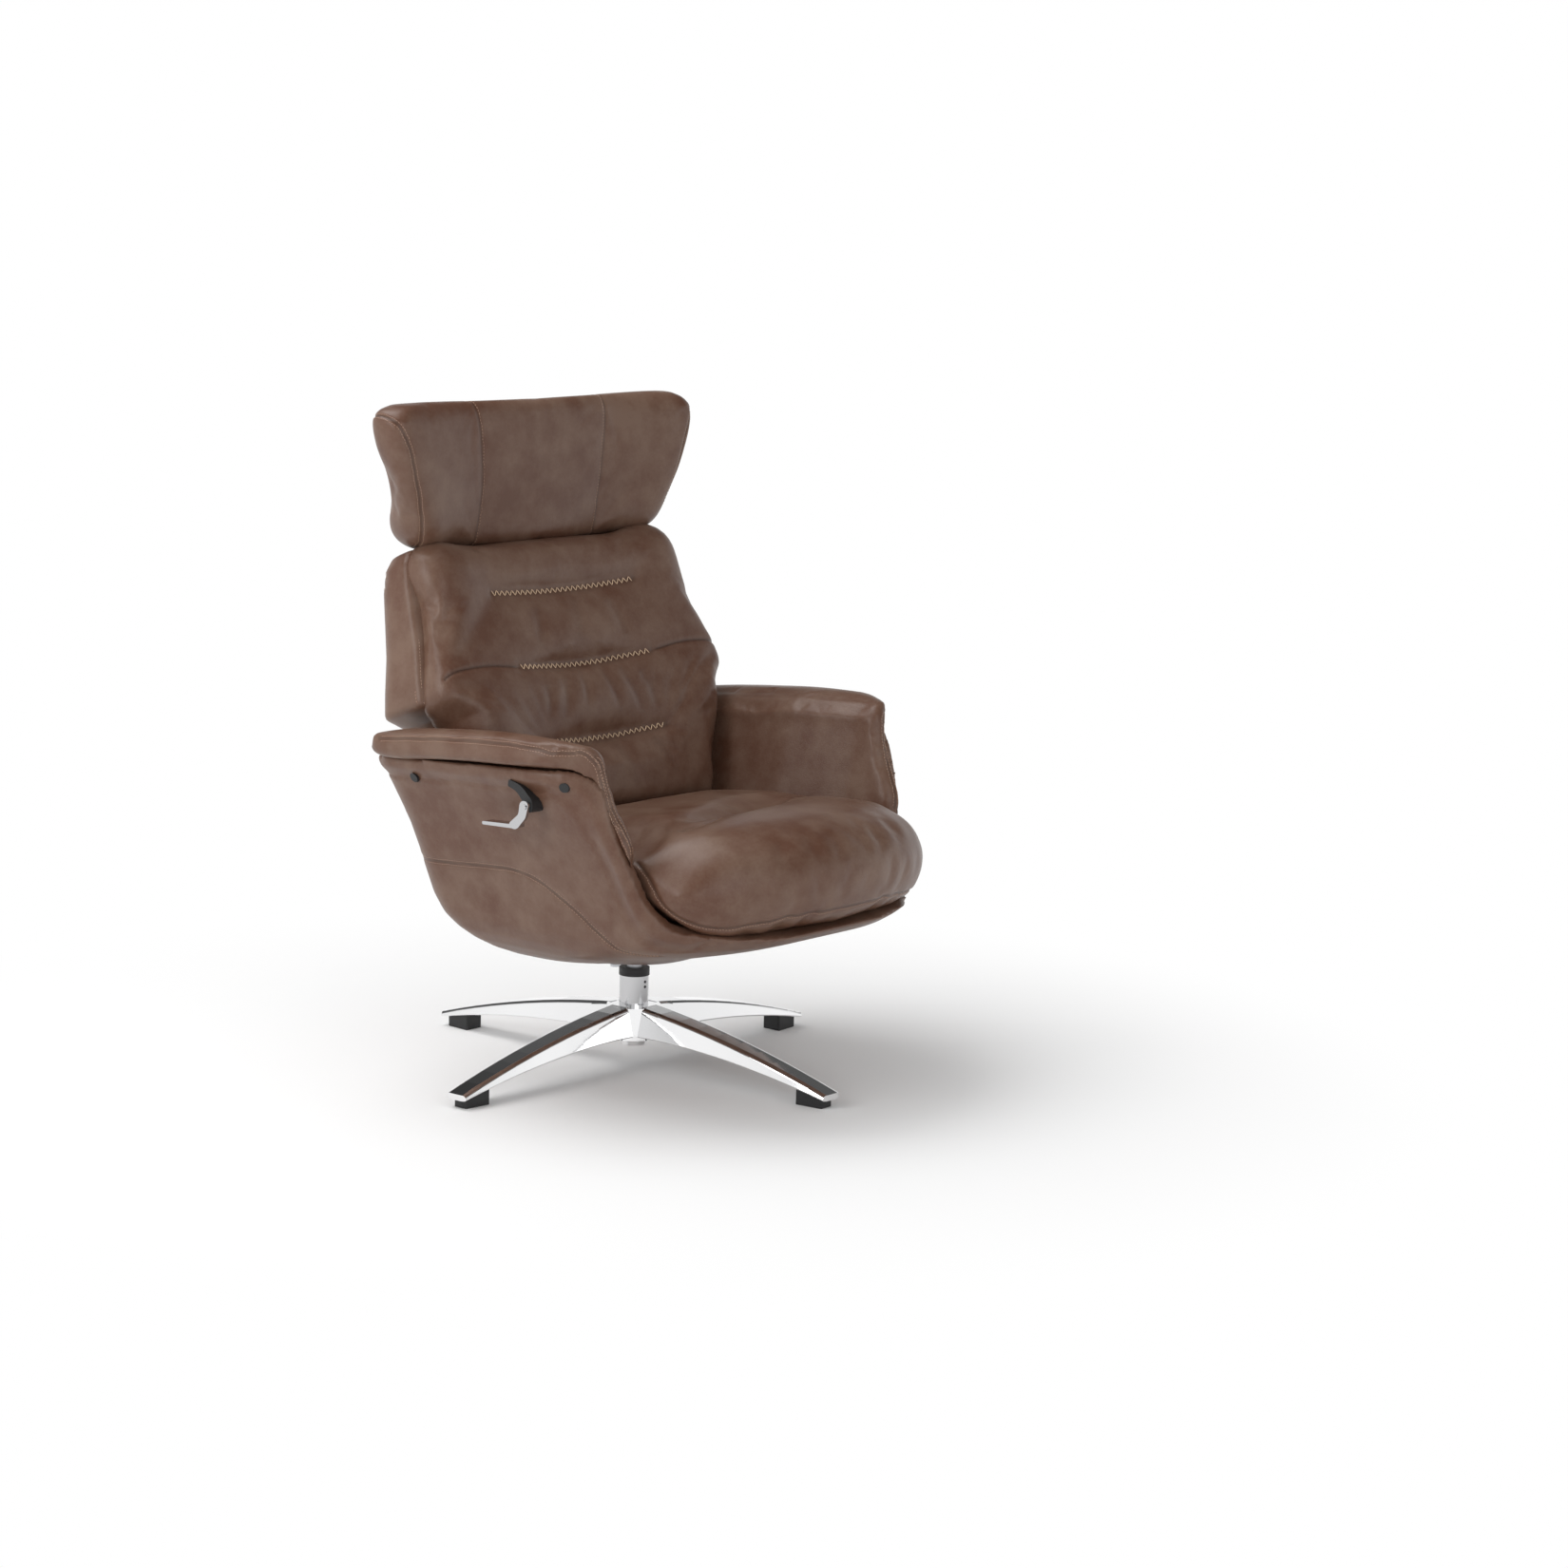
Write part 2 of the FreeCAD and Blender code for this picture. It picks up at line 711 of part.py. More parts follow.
solid("arm_bolt_caps", Part.makeCompound(arm_bolt_caps()))


# Mounting plate and chassis, all standing on the tub's floor

FLOOR = "(Sizes.tub_bottom + Sizes.tub_wall)"
PLATE_TOP = f"({FLOOR} + Sizes.plate_thickness)"
BEAM_LOW = f"({PLATE_TOP} + Sizes.cross_bar_height)"
BEAM_TOP = f"({BEAM_LOW} + Sizes.beam_height)"
plate = box("plate_sheet", "Sizes.plate_length", "Sizes.plate_width", "Sizes.plate_thickness", z=FLOOR)
boss = rod("plate_boss", "Sizes.boss_radius", "Sizes.plate_thickness + Sizes.boss_height", z=FLOOR)
plate_tools = [rod("post_bore", "Sizes.post_radius", "200", z=FLOOR)]
bolts = []
for k, (x, y) in enumerate(bolt_places(1, 1)):
    x_place = f"{x} * Sizes.bolt_spacing_across"
    y_place = f"{y} * Sizes.bolt_spacing_along"
    length = "Sizes.tub_wall + Sizes.plate_thickness"
    plate_tools.append(rod(f"bolt_hole_{k}", "Sizes.bolt_radius", length, x_place, y_place, "Sizes.tub_bottom"))
    shank = rod(f"bolt_shank_{k}", "Sizes.bolt_radius", length, x_place, y_place, "Sizes.tub_bottom")
    head_low = "Sizes.tub_bottom - Sizes.bolt_head"
    head = rod(f"bolt_head_{k}", "Sizes.bolt_radius * 1.8", "Sizes.bolt_head", x_place, y_place, head_low)
    bolts.append(fuse(f"bolt_{k}", [shank, head]))
cut("mounting_plate", fuse("plate_with_boss", [plate, boss]), fuse("plate_holes", plate_tools))
compound("plate_bolts", bolts)

BEAM_LENGTH = "(Sizes.beam_rear - Sizes.beam_front)"
BEAM_MIDDLE = "((Sizes.beam_rear + Sizes.beam_front) / 2)"
chassis = []
for name, sign in (("left", ""), ("right", "-")):
    x_place = f"{sign}Sizes.beam_place"
    chassis.append(
        box(f"beam_{name}", "Sizes.beam_width", BEAM_LENGTH, "Sizes.beam_height", x_place, BEAM_MIDDLE, BEAM_LOW)
    )
CROSS_LENGTH = "2 * Sizes.beam_place + Sizes.beam_width"
for name, sign in (("rear", ""), ("front", "-")):
    y_place = f"{sign}Sizes.cross_bar_place"
    chassis.append(
        box(f"cross_bar_{name}", CROSS_LENGTH, "Sizes.cross_bar_width", "Sizes.cross_bar_height", "0", y_place, PLATE_TOP)
    )
chassis.append(
    box("front_bar", CROSS_LENGTH, "Sizes.cross_bar_width", "Sizes.beam_height", "0", "Sizes.beam_front + 9", BEAM_LOW)
)
fuse("chassis_frame", chassis)

# Slide rails on the beams, and the runners inside them
RAIL_TOP = f"({BEAM_TOP} + Sizes.rail_height)"
INSIDE = "(Sizes.rail_width / 2 - Sizes.rail_wall)"
rail_section = [
    ("-Sizes.rail_width / 2", BEAM_TOP),
    ("Sizes.rail_width / 2", BEAM_TOP),
    ("Sizes.rail_width / 2", RAIL_TOP),
    ("Sizes.rail_slot / 2", RAIL_TOP),
    ("Sizes.rail_slot / 2", f"{RAIL_TOP} - Sizes.rail_wall"),
    (INSIDE, f"{RAIL_TOP} - Sizes.rail_wall"),
    (INSIDE, f"{BEAM_TOP} + Sizes.rail_wall"),
    (f"-{INSIDE}", f"{BEAM_TOP} + Sizes.rail_wall"),
    (f"-{INSIDE}", f"{RAIL_TOP} - Sizes.rail_wall"),
    ("-Sizes.rail_slot / 2", f"{RAIL_TOP} - Sizes.rail_wall"),
    ("-Sizes.rail_slot / 2", RAIL_TOP),
    ("-Sizes.rail_width / 2", RAIL_TOP),
]
runner_section = [
    (f"-{INSIDE} + Sizes.slide_gap", f"{BEAM_TOP} + Sizes.rail_wall + Sizes.slide_gap / 4"),
    (f"{INSIDE} - Sizes.slide_gap", f"{BEAM_TOP} + Sizes.rail_wall + Sizes.slide_gap / 4"),
    (f"{INSIDE} - Sizes.slide_gap", f"{RAIL_TOP} - Sizes.rail_wall - Sizes.slide_gap"),
    ("Sizes.rail_slot / 2 - Sizes.slide_gap", f"{RAIL_TOP} - Sizes.rail_wall - Sizes.slide_gap"),
    ("Sizes.rail_slot / 2 - Sizes.slide_gap", "Sizes.seat_base"),
    ("-Sizes.rail_slot / 2 + Sizes.slide_gap", "Sizes.seat_base"),
    ("-Sizes.rail_slot / 2 + Sizes.slide_gap", f"{RAIL_TOP} - Sizes.rail_wall - Sizes.slide_gap"),
    (f"-{INSIDE} + Sizes.slide_gap", f"{RAIL_TOP} - Sizes.rail_wall - Sizes.slide_gap"),
]
for name, sign in (("left", ""), ("right", "-")):
    rail = padded(f"slide_rail_{name}", rail_section, BEAM_LENGTH)
    place(rail, f"{sign}Sizes.beam_place", BEAM_MIDDLE)
    runner = padded(f"seat_runner_{name}", runner_section, "Sizes.runner_length")
    place(runner, f"{sign}Sizes.beam_place", "Sizes.runner_place")

# Pivot brackets outside the beams, with the pins the back turns on
BRACKET_INNER = "(Sizes.beam_place + Sizes.beam_width / 2)"
BRACKET_OUTER = f"({BRACKET_INNER} + Sizes.bracket_thickness)"
EAR_INNER = f"({BRACKET_OUTER} + Sizes.side_gap)"
EAR_OUTER = f"({EAR_INNER} + Sizes.bracket_thickness)"
TAIL_INNER = f"({EAR_OUTER} + 4 * Sizes.side_gap)"
TAIL_OUTER = f"({TAIL_INNER} + Sizes.bracket_thickness)"


def mirror_place(name, low, length):
    """Start of a piece that runs along X from low on the left side, or its mirror on the right."""
    return low if name == "left" else f"-({low}) - ({length})"


for name in ("left", "right"):
    start = mirror_place(name, BRACKET_INNER, "Sizes.bracket_thickness")
    web = doc.addObject("Part::Box", f"bracket_web_{name}")
    bind(web, Length="Sizes.bracket_thickness", Width="4 * Sizes.pin_radius + 8")
    bind(web, Height=f"Sizes.pivot_height - {BEAM_LOW}")
    place(web, start, "Sizes.pivot_back - 2 * Sizes.pin_radius - 4", BEAM_LOW)
    eye = rod(
        f"bracket_eye_{name}", "2 * Sizes.pin_radius + 4", "Sizes.bracket_thickness",
        start, "Sizes.pivot_back", "Sizes.pivot_height", "x",
    )
    pin_length = "(2 * Sizes.bracket_thickness + Sizes.side_gap + 6)"
    pin_low = f"({BRACKET_INNER} - 4)"
    pin_start = mirror_place(name, pin_low, pin_length)
    hole = rod(f"bracket_hole_{name}", "Sizes.pin_radius", "40", f"{start} - 10", "Sizes.pivot_back", "Sizes.pivot_height", "x")
    cut(f"pivot_bracket_{name}", fuse(f"bracket_blank_{name}", [web, eye]), hole)
    rod(f"pivot_pin_{name}", "Sizes.pin_radius", pin_length, pin_start, "Sizes.pivot_back", "Sizes.pivot_height", "x")

# Gas spring: the cylinder is held at the chassis's front, the rod at the seat's rear
SPRING_HEIGHT = f"({BEAM_TOP} + Sizes.spring_radius + 3)"
SPRING_REAR = "(Sizes.spring_front + Sizes.spring_length)"
spring_body = rod("spring_tube", "Sizes.spring_radius", "Sizes.spring_length", "0", "Sizes.spring_front", SPRING_HEIGHT, "y")
spring_bore = rod(
    "spring_bore", "Sizes.rod_radius + Sizes.running_gap", "Sizes.spring_length", "0",
    "Sizes.spring_front + 6", SPRING_HEIGHT, "y",
)
cut("gas_spring_cylinder", spring_body, spring_bore)
BRACKET_HEIGHT = "2 * Sizes.spring_radius + 5"
box("gas_spring_bracket", "30", "6", BRACKET_HEIGHT, "0", "Sizes.spring_front - 3", BEAM_TOP)
ROD_REAR = "Sizes.rod_anchor"
rod("gas_spring_rod", "Sizes.rod_radius", "Sizes.rod_length", "0", f"{ROD_REAR} - Sizes.rod_length", SPRING_HEIGHT, "y")
anchor = box("rod_anchor_block", "26", "8", f"Sizes.seat_base - {BEAM_TOP} - 2", "0", f"{ROD_REAR} - 4", f"{BEAM_TOP} + 2")
anchor_hole = rod("rod_anchor_hole", "Sizes.rod_radius", "30", "0", f"{ROD_REAR} - 20", SPRING_HEIGHT, "y")
cut("gas_spring_anchor", anchor, anchor_hole)


# Seat: pan, drive plates with the slots that the back's pins push, and the cushion

def seat_pan():
    half = size("pan_half_width")
    corners = [
        (half, size("pan_front"), 90),
        (half, size("pan_rear"), 20),
        (-half, size("pan_rear"), 20),
        (-half, size("pan_front"), 90),
    ]
    wire = rounded_wire(corners, lambda x, y: Vector(x, y, size("seat_base")))
    return Part.Face(wire).extrude(Vector(0, 0, size("pan_thickness")))


solid("seat_pan", seat_pan())

PIN_SWING = "(Sizes.recline_range / 2)"
PIN_BACK = f"(Sizes.pivot_back + Sizes.drive_arm * sin({PIN_SWING} * 1deg))"
PIN_HEIGHT = f"(Sizes.pivot_height - Sizes.drive_arm * cos({PIN_SWING} * 1deg))"
LOWEST_PIN = "(Sizes.pivot_height - Sizes.drive_arm)"
for name in ("left", "right"):
    start = mirror_place(name, TAIL_INNER, "Sizes.bracket_thickness")
    web = doc.addObject("Part::Box", f"drive_web_{name}")
    bind(web, Length="Sizes.bracket_thickness", Height="Sizes.seat_base - Sizes.drive_plate_bottom")
    bind(web, Width=f"{PIN_BACK} + 2 * Sizes.pin_radius + 2 - Sizes.drive_plate_front")
    place(web, start, "Sizes.drive_plate_front", "Sizes.drive_plate_bottom")
    flange = doc.addObject("Part::Box", f"drive_flange_{name}")
    bind(flange, Length="3 * Sizes.bracket_thickness", Height="3")
    bind(flange, Width="Sizes.pan_rear - 2 - Sizes.drive_plate_front")
    flange_start = TAIL_INNER if name == "left" else f"-({TAIL_INNER}) - 3 * Sizes.bracket_thickness"
    place(flange, flange_start, "Sizes.drive_plate_front", "Sizes.seat_base - 3")
    slot = doc.addObject("Part::Box", f"drive_slot_{name}")
    bind(slot, Length="40", Width="2 * Sizes.pin_radius + 2 * Sizes.slot_gap")
    bind(slot, Height="2 * Sizes.pin_radius + 6")
    place(slot, f"{start} - 15", f"{PIN_BACK} - Sizes.pin_radius - Sizes.slot_gap", f"{LOWEST_PIN} - Sizes.pin_radius - 2")
    cut(f"seat_drive_plate_{name}", fuse(f"drive_blank_{name}", [web, flange]), slot)


def spindle(half_length, radius):
    """A lens turned about X, pointed at both ends."""
    arc = Part.Arc(Vector(-half_length, 0, 0), Vector(0, radius, 0), Vector(half_length, 0, 0)).toShape()
    axis = Part.LineSegment(Vector(half_length, 0, 0), Vector(-half_length, 0, 0)).toShape()
    return Part.Face(Part.Wire([arc, axis])).revolve(Vector(), Vector(1, 0, 0), 360)


# share of the half width, rear, bottom over the pan, drop of the crown, drop of the rear top
SEAT_STATIONS = [
    (0.0, 24, 0, 0, 0),
    (0.38, 24, 0, 2, 2),
    (0.66, 22, 1, 7, 8),
    (0.81, 14, 7, 18, 20),
    (0.88, -60, 16, 30, 30),
    (0.95, -165, 28, 46, 32),
    (1.0, -228, 50, 64, 42),
]


def seat_section(x, rear, lift, crown_drop, rear_drop):
    share = abs(x) / size("seat_half_width")
    front = size("seat_front") + size("seat_bow") * share ** 2.5
    bottom = size("seat_base") + size("pan_thickness") + size("touch_gap") + lift
    crown = size("seat_crown") - crown_drop
    rear_top = size("seat_rear_top") - rear_drop
    middle_top = rear_top + (crown - rear_top) * 0.7
    corners = [
        (rear, bottom, 12),
        (rear, rear_top, 26),
        (rear + (front + 90 - rear) * 0.55, middle_top, 200),
        (front + 90, crown, 90),
        (front + 22, crown - 28, 50),
        (front, bottom + (crown - bottom) * 0.4, 50),
        (front + 40, bottom - size("seat_lip") * (1.02 - share), 30),
        (front + 90, bottom, 20),
    ]
    return rounded_wire(corners, lambda y, z: Vector(x, y, z))


def seat_cushion():
    wires = []
    reach = size("seat_half_width")
    stations = even_rows([(share * reach, *rest) for share, *rest in SEAT_STATIONS], 12)
    for x, *rest in reversed(stations[1:]):
        wires.append(seat_section(-x, *rest))
    for x, *rest in stations:
        wires.append(seat_section(x, *rest))
    cushion = loft(wires)
    channel = spindle(size("seat_half_width") * 0.86, size("channel_radius"))
    channel.rotate(Vector(), Vector(0, 0, 1), 8)
    middle_top = (size("seat_rear_top") + size("seat_crown")) / 2
    channel.translate(Vector(0, size("channel_place"), middle_top + size("channel_radius") * 0.62))
    return cushion.cut(channel)


solid("seat_cushion", seat_cushion())


# Back: everything here is built in the back's own frame, whose origin is the recline pivot.
# Its z runs up the back, and -y points to the sitter.

def back_frame_place(thing):
    """Lean a finished piece back and carry it to the recline pivot."""
    thing.Placement = Placement(Vector(), Rotation(Vector(1, 0, 0), -size("back_lean")))
    return place(thing, "0", "Sizes.pivot_back", "Sizes.pivot_height")


# height up the back, half width, front
BACK_STATIONS = [
    (40, 232, 52),
    (48, 240, 62),
    (90, 250, 74),
    (140, 266, 78),
    (185, 280, 80),
    (228, 288, 80),
    (246, 308, 80),
    (264, 332, 80),
    (300, 324, 80),
    (353, 310, 75),
    (407, 296, 69),
    (450, 285, 63),
    (480, 268, 52),
    (496, 240, 38),
]


def back_heights():
    """Stations stretched to the set height of the back."""
    stretch = size("back_top") / 496
    across = size("back_half_width") / 332
    for height, half, front in even_rows(BACK_STATIONS, 22):
        yield height * stretch, half * across, front


def back_cushion():
    wires = []
    seam = -size("back_seam")
    for height, half, front in back_heights():
        edge = min(44, (front - size("back_seam")) * 0.9)
        corners = [(half, seam, 1), (half - 4, -front, edge), (-half + 4, -front, edge), (-half, seam, 1)]
        wires.append(rounded_wire(corners, lambda x, y, z=height: Vector(x, y, z)))
    cushion = loft(wires)
    for k in range(3):
        row = spindle(size("tuft_half_length") * (0.88 + 0.06 * k), size("tuft_radius"))
        row.translate(Vector(0, -size("tuft_front") - size("tuft_radius"), size("tuft_first") + k * size("tuft_pitch")))
        cushion = cushion.cut(row)
    return cushion


def back_cover():
    """The upholstered rear of the back: a shell open to the front and below."""
    stations = [
        (-10, 230, 58),
        (60, 238, 69),
        (140, 256, 78),
        (200, 270, 79),
        (242, 286, 78),
        (264, 326, 77),
        (300, 320, 70),
        (353, 306, 62),
        (407, 292, 54),
        (450, 281, 48),
        (480, 264, 40),
        (496, 236, 30),
    ]
    stretch = size("back_top") / 496
    across = size("back_half_width") / 332
    seam = -size("back_seam") + size("touch_gap")

    def section(height, half, rear, inset):
        corners = [
            (half * across - inset, seam - inset, 1),
            (half * across - inset, rear - inset, 34),
            (-half * across + inset, rear - inset, 34),
            (-half * across + inset, seam - inset, 1),
        ]
        return rounded_wire(corners, lambda x, y, z=height * stretch: Vector(x, y, z))

    wall = size("cover_wall")
    outer = loft([section(height, half, rear, 0) for height, half, rear in even_rows(stations, 20)])
    below = (-40, stations[0][1], stations[0][2])
    inner_rows = even_rows([below] + stations[1:-1], 20)
    inner = loft([section(height, half, rear, wall) for height, half, rear in inner_rows])
    cover = outer.cut(inner)
    depth = seam + size("board_thickness") + size("frame_depth") / 2
    radius = size("stem_radius") + size("running_gap") + size("guide_wall")
    for side in (-1, 1):
        cover = cover.cut(Part.makeCylinder(radius, 60, Vector(side * size("guide_place"), depth, size("back_top") - 50)))
    return cover


solid("back_cushion", back_cushion())
back_frame_place(doc.getObject("back_cushion"))
solid("back_cover", back_cover())
back_frame_place(doc.getObject("back_cover"))

# Board behind the cushion
BOARD_HIGH = "(Sizes.back_top - 40)"
board_rear = "(-Sizes.back_seam + Sizes.touch_gap)"
board = box(
    "board_sheet", "2 * Sizes.board_half_width", "Sizes.board_thickness", f"{BOARD_HIGH} - Sizes.board_low",
    "0", f"{board_rear} + Sizes.board_thickness / 2", "Sizes.board_low",
)
board_edges = doc.addObject("Part::Chamfer", "back_board")
board_edges.Base = board
doc.recompute()
upright_edges = []
for number, edge in enumerate(board.Shape.Edges, start=1):
    if abs(edge.BoundBox.YLength) > 0.9 * edge.Length:
        upright_edges.append((number, size("board_corner"), size("board_corner")))
board_edges.Edges = upright_edges
back_frame_place(board_edges)

# Steel frame behind the board: uprights, cross bars and the ears that carry the pivot and the drive pins
FRAME_FRONT = f"({board_rear} + Sizes.board_thickness)"
FRAME_MIDDLE = f"({FRAME_FRONT} + Sizes.frame_depth / 2)"
frame_parts = []
frame_tools = []
FRAME_HIGH = "(Sizes.back_top - 60)"
for name, sign in (("left", ""), ("right", "-")):
    x_place = f"{sign}({EAR_OUTER} - Sizes.frame_width / 2)"
    frame_parts.append(
        box(
            f"upright_{name}", "Sizes.frame_width", "Sizes.frame_depth", f"{FRAME_HIGH} - Sizes.board_low",
            x_place, FRAME_MIDDLE, "Sizes.board_low",
        )
    )
    start = mirror_place(name, EAR_INNER, "Sizes.bracket_thickness")
    frame_parts.append(
        box(
            f"ear_{name}", "Sizes.bracket_thickness", "Sizes.frame_depth", "Sizes.board_low + 10",
            f"{sign}({EAR_INNER} + Sizes.bracket_thickness / 2)", FRAME_MIDDLE, "0",
        )
    )
    frame_parts.append(rod(f"ear_eye_{name}", "2 * Sizes.pin_radius + 3", "Sizes.bracket_thickness", start, "0", "0", "x"))
    frame_tools.append(
        rod(f"ear_hole_{name}", "Sizes.pin_radius + Sizes.running_gap", "40", f"{start} - 10", "0", "0", "x")
    )


def drive_ear(low):
    """The lower part of one ear, from the pivot to the drive pin, in the back's frame."""
    swing = radians(size("recline_range") / 2 + size("back_lean"))
    y = size("drive_arm") * sin(swing)
    z = -size("drive_arm") * cos(swing)
    radius = size("pin_radius") + 5
    along = Vector(0, y, z)
    bar = Part.makeBox(size("bracket_thickness"), 2 * radius, size("drive_arm"), Vector(0, -radius, 0))
    bar.rotate(Vector(), Vector(1, 0, 0), 180 + degrees(atan2(y, -z)))
    tip = Part.makeCylinder(radius, size("bracket_thickness"), along, Vector(1, 0, 0))
    pin_hole = Part.makeCylinder(size("pin_radius"), 60, along - Vector(20, 0, 0), Vector(1, 0, 0))
    ear = bar.fuse(tip).cut(pin_hole)
    ear.translate(Vector(low, 0, 0))
    return ear


def sheet_value(expression_name):
    return float(doc.getObject(expression_name).Placement.Base.x)


doc.recompute()
left_ear = drive_ear(sheet_value("ear_eye_left"))
frame_parts.append(solid("drive_ear_left", left_ear))
frame_parts.append(solid("drive_ear_right", mirrored(left_ear)))
for k, height in enumerate(("Sizes.board_low + 50", f"{FRAME_HIGH} - 20", "Sizes.guide_low + 10")):
    frame_parts.append(
        box(f"back_bar_{k}", f"2 * {EAR_OUTER}", "Sizes.frame_depth", "Sizes.frame_width", "0", FRAME_MIDDLE, height)
    )
for name, sign in (("left", ""), ("right", "-")):
    guide_hole = rod(
        f"guide_hole_{name}", "Sizes.stem_radius + Sizes.running_gap + Sizes.guide_wall", "600",
        f"{sign}Sizes.guide_place", FRAME_MIDDLE, "0",
    )
    frame_tools.append(guide_hole)
frame = cut("back_frame", fuse("frame_blank", frame_parts), fuse("frame_holes", frame_tools))
back_frame_place(frame)

for name, sign in (("left", ""), ("right", "-")):
    tube = rod(
        f"guide_tube_{name}", "Sizes.stem_radius + Sizes.running_gap + Sizes.guide_wall",
        "Sizes.back_top - Sizes.guide_low", f"{sign}Sizes.guide_place", FRAME_MIDDLE, "Sizes.guide_low",
    )
    bore = rod(
        f"guide_bore_{name}", "Sizes.stem_radius + Sizes.running_gap", "600",
        f"{sign}Sizes.guide_place", FRAME_MIDDLE, "Sizes.guide_low - 20",
    )
    back_frame_place(cut(f"headrest_guide_{name}", tube, bore))

# Drive pins, in the world's frame, where they stand at rest
for name in ("left", "right"):
    length = "(2 * Sizes.bracket_thickness + 4 * Sizes.side_gap + 3)"
    rod(f"drive_pin_{name}", "Sizes.pin_radius", length, mirror_place(name, EAR_INNER, length), PIN_BACK, PIN_HEIGHT, "x")


# Headrest: stems that slide in the guides, a yoke on top of them, and the cushion that tilts on its pin

stem_pair = []
for name, sign in (("left", ""), ("right", "-")):
    stem = rod(
        f"stem_{name}", "Sizes.stem_radius", "Sizes.back_top + Sizes.stem_rise - Sizes.stem_low",
        f"{sign}Sizes.guide_place", FRAME_MIDDLE, "Sizes.stem_low",
    )
    stem_pair.append(stem)
stems = back_frame_place(fuse("stem_pair", stem_pair))


def stem_top():
    """Where the stems' middle line ends, in the world's frame at rest."""
    lean = radians(size("back_lean"))
    depth = -size("back_seam") + size("touch_gap") + size("board_thickness") + size("frame_depth") / 2
    height = size("back_top") + size("stem_rise")
    y = size("pivot_back") + height * sin(lean) + depth * cos(lean)
    z = size("pivot_height") + height * cos(lean) - depth * sin(lean)
    return y, z


def yoke():
    """Two links from the stems' tops to the hinge pin."""
    y_low, z_low = stem_top()
    y_high = size("head_pivot_back")
    z_high = size("head_pivot_height")
    radius = size("yoke_radius")
    links = []
    for side in (-1, 1):
        start = side * size("guide_place") - size("yoke_width") / 2
        bar = Part.makeBox(size("yoke_width"), 2 * radius, hypot(y_high - y_low, z_high - z_low), Vector(0, -radius, 0))
        bar.rotate(Vector(), Vector(1, 0, 0), degrees(atan2(y_low - y_high, z_high - z_low)))
        bar.translate(Vector(start, y_low, z_low))
        low_end = Part.makeCylinder(radius, size("yoke_width"), Vector(start, y_low, z_low), Vector(1, 0, 0))
        high_end = Part.makeCylinder(radius, size("yoke_width"), Vector(start, y_high, z_high), Vector(1, 0, 0))
        link = bar.fuse([low_end, high_end])
        hole = Part.makeCylinder(size("hinge_pin_radius"), 60, Vector(start - 20, y_high, z_high), Vector(1, 0, 0))
        links.append(link.cut(hole))
    return links


yoke_links = solid("yoke_links", Part.makeCompound(yoke()))
fuse("headrest_carrier", [stems, yoke_links])
HINGE_LENGTH = "(2 * Sizes.guide_place + Sizes.yoke_width)"
rod(
    "headrest_hinge_pin", "Sizes.hinge_pin_radius", HINGE_LENGTH, f"-{HINGE_LENGTH} / 2",
    "Sizes.head_pivot_back", "Sizes.head_pivot_height", "x",
)

# Core plate of the headrest with two barrels on the hinge pin
BARREL = "(Sizes.hinge_pin_radius + 4)"
core_sheet = box(
    "core_sheet", "2 * Sizes.guide_place + 60", "Sizes.core_depth", "Sizes.core_thickness",
    "0", "Sizes.head_pivot_back", f"Sizes.head_pivot_height + {BARREL} - 1",
)
core_parts = [core_sheet]
core_tools = []
for name, sign in (("left", ""), ("right", "-")):
    x_start = f"{sign}(Sizes.guide_place - 27) - 14"
    core_parts.append(
        rod(f"barrel_{name}", BARREL, "28", x_start, "Sizes.head_pivot_back", "Sizes.head_pivot_height", "x")
    )
bore = rod(
    "barrel_bore", "Sizes.hinge_pin_radius + Sizes.running_gap", "200", "-100",
    "Sizes.head_pivot_back", "Sizes.head_pivot_height", "x",
)
cut("headrest_core", fuse("core_blank", core_parts), bore)


# height over the headrest's bottom, half width, rear, front at the ends, front in the middle
HEAD_STATIONS = [
    (0, 214, 280, 236, 240),
    (7, 240, 285, 222, 229),
    (23, 268, 286, 204, 220),
    (60, 298, 274, 184, 212),
    (110, 324, 264, 176, 206),
    (170, 345, 263, 176, 205),
    (200, 349, 262, 180, 208),
    (216, 338, 256, 192, 215),
    (225, 310, 244, 206, 224),
]


def headrest_cushion():
    wires = []
    stretch = size("head_rise") / 225
    across = size("head_half_width") / 349
    for rise, half_width, rear, front_end, front_middle in even_rows(HEAD_STATIONS, 18):
        height = size("head_bottom") + rise * stretch
        half = half_width * across
        edge = min(30, (rear - front_end) * 0.45)
        corners = [
            (half, rear, edge),
            (-half, rear, edge),
            (-half + 2, front_end, edge),
            (-half * 0.5, front_middle, 300),
            (half * 0.5, front_middle, 300),
            (half - 2, front_end, edge),
        ]
        wires.append(rounded_wire(corners, lambda x, y, z=height: Vector(x, y, z)))
    cushion = loft(wires)
    half = size("guide_place") + size("yoke_width") / 2 + 4
    low = size("head_bottom") - 10
    y = size("head_pivot_back")
    top = size("head_pivot_height") + size("hinge_pin_radius") + 4
    shoulder = size("head_pivot_height") - 26
    narrow = size("hinge_pin_radius") + 6.5
    swing = [
        (y - 27, low, 1),
        (y + 23, low, 1),
        (y + 23, shoulder, 4),
        (y + narrow, top - 10, 4),
        (y + narrow, top, 1),
        (y - narrow, top, 1),
        (y - narrow, top - 14, 4),
        (y - 27, shoulder, 4),
    ]
    hollow = extruded_side(swing, -half, half)
    plate_half = size("guide_place") + 30 + size("touch_gap")
    depth = size("core_depth") / 2 + size("touch_gap")
    plate_top = top - 1 + size("core_thickness") + size("touch_gap")
    plate = block(-plate_half, plate_half, y - depth, y + depth, top - 1 - size("touch_gap"), plate_top)
    return cushion.cut(hollow).cut(plate)


solid("headrest_cushion", headrest_cushion())


# Release lever on the tub's right side, as the sitter has it

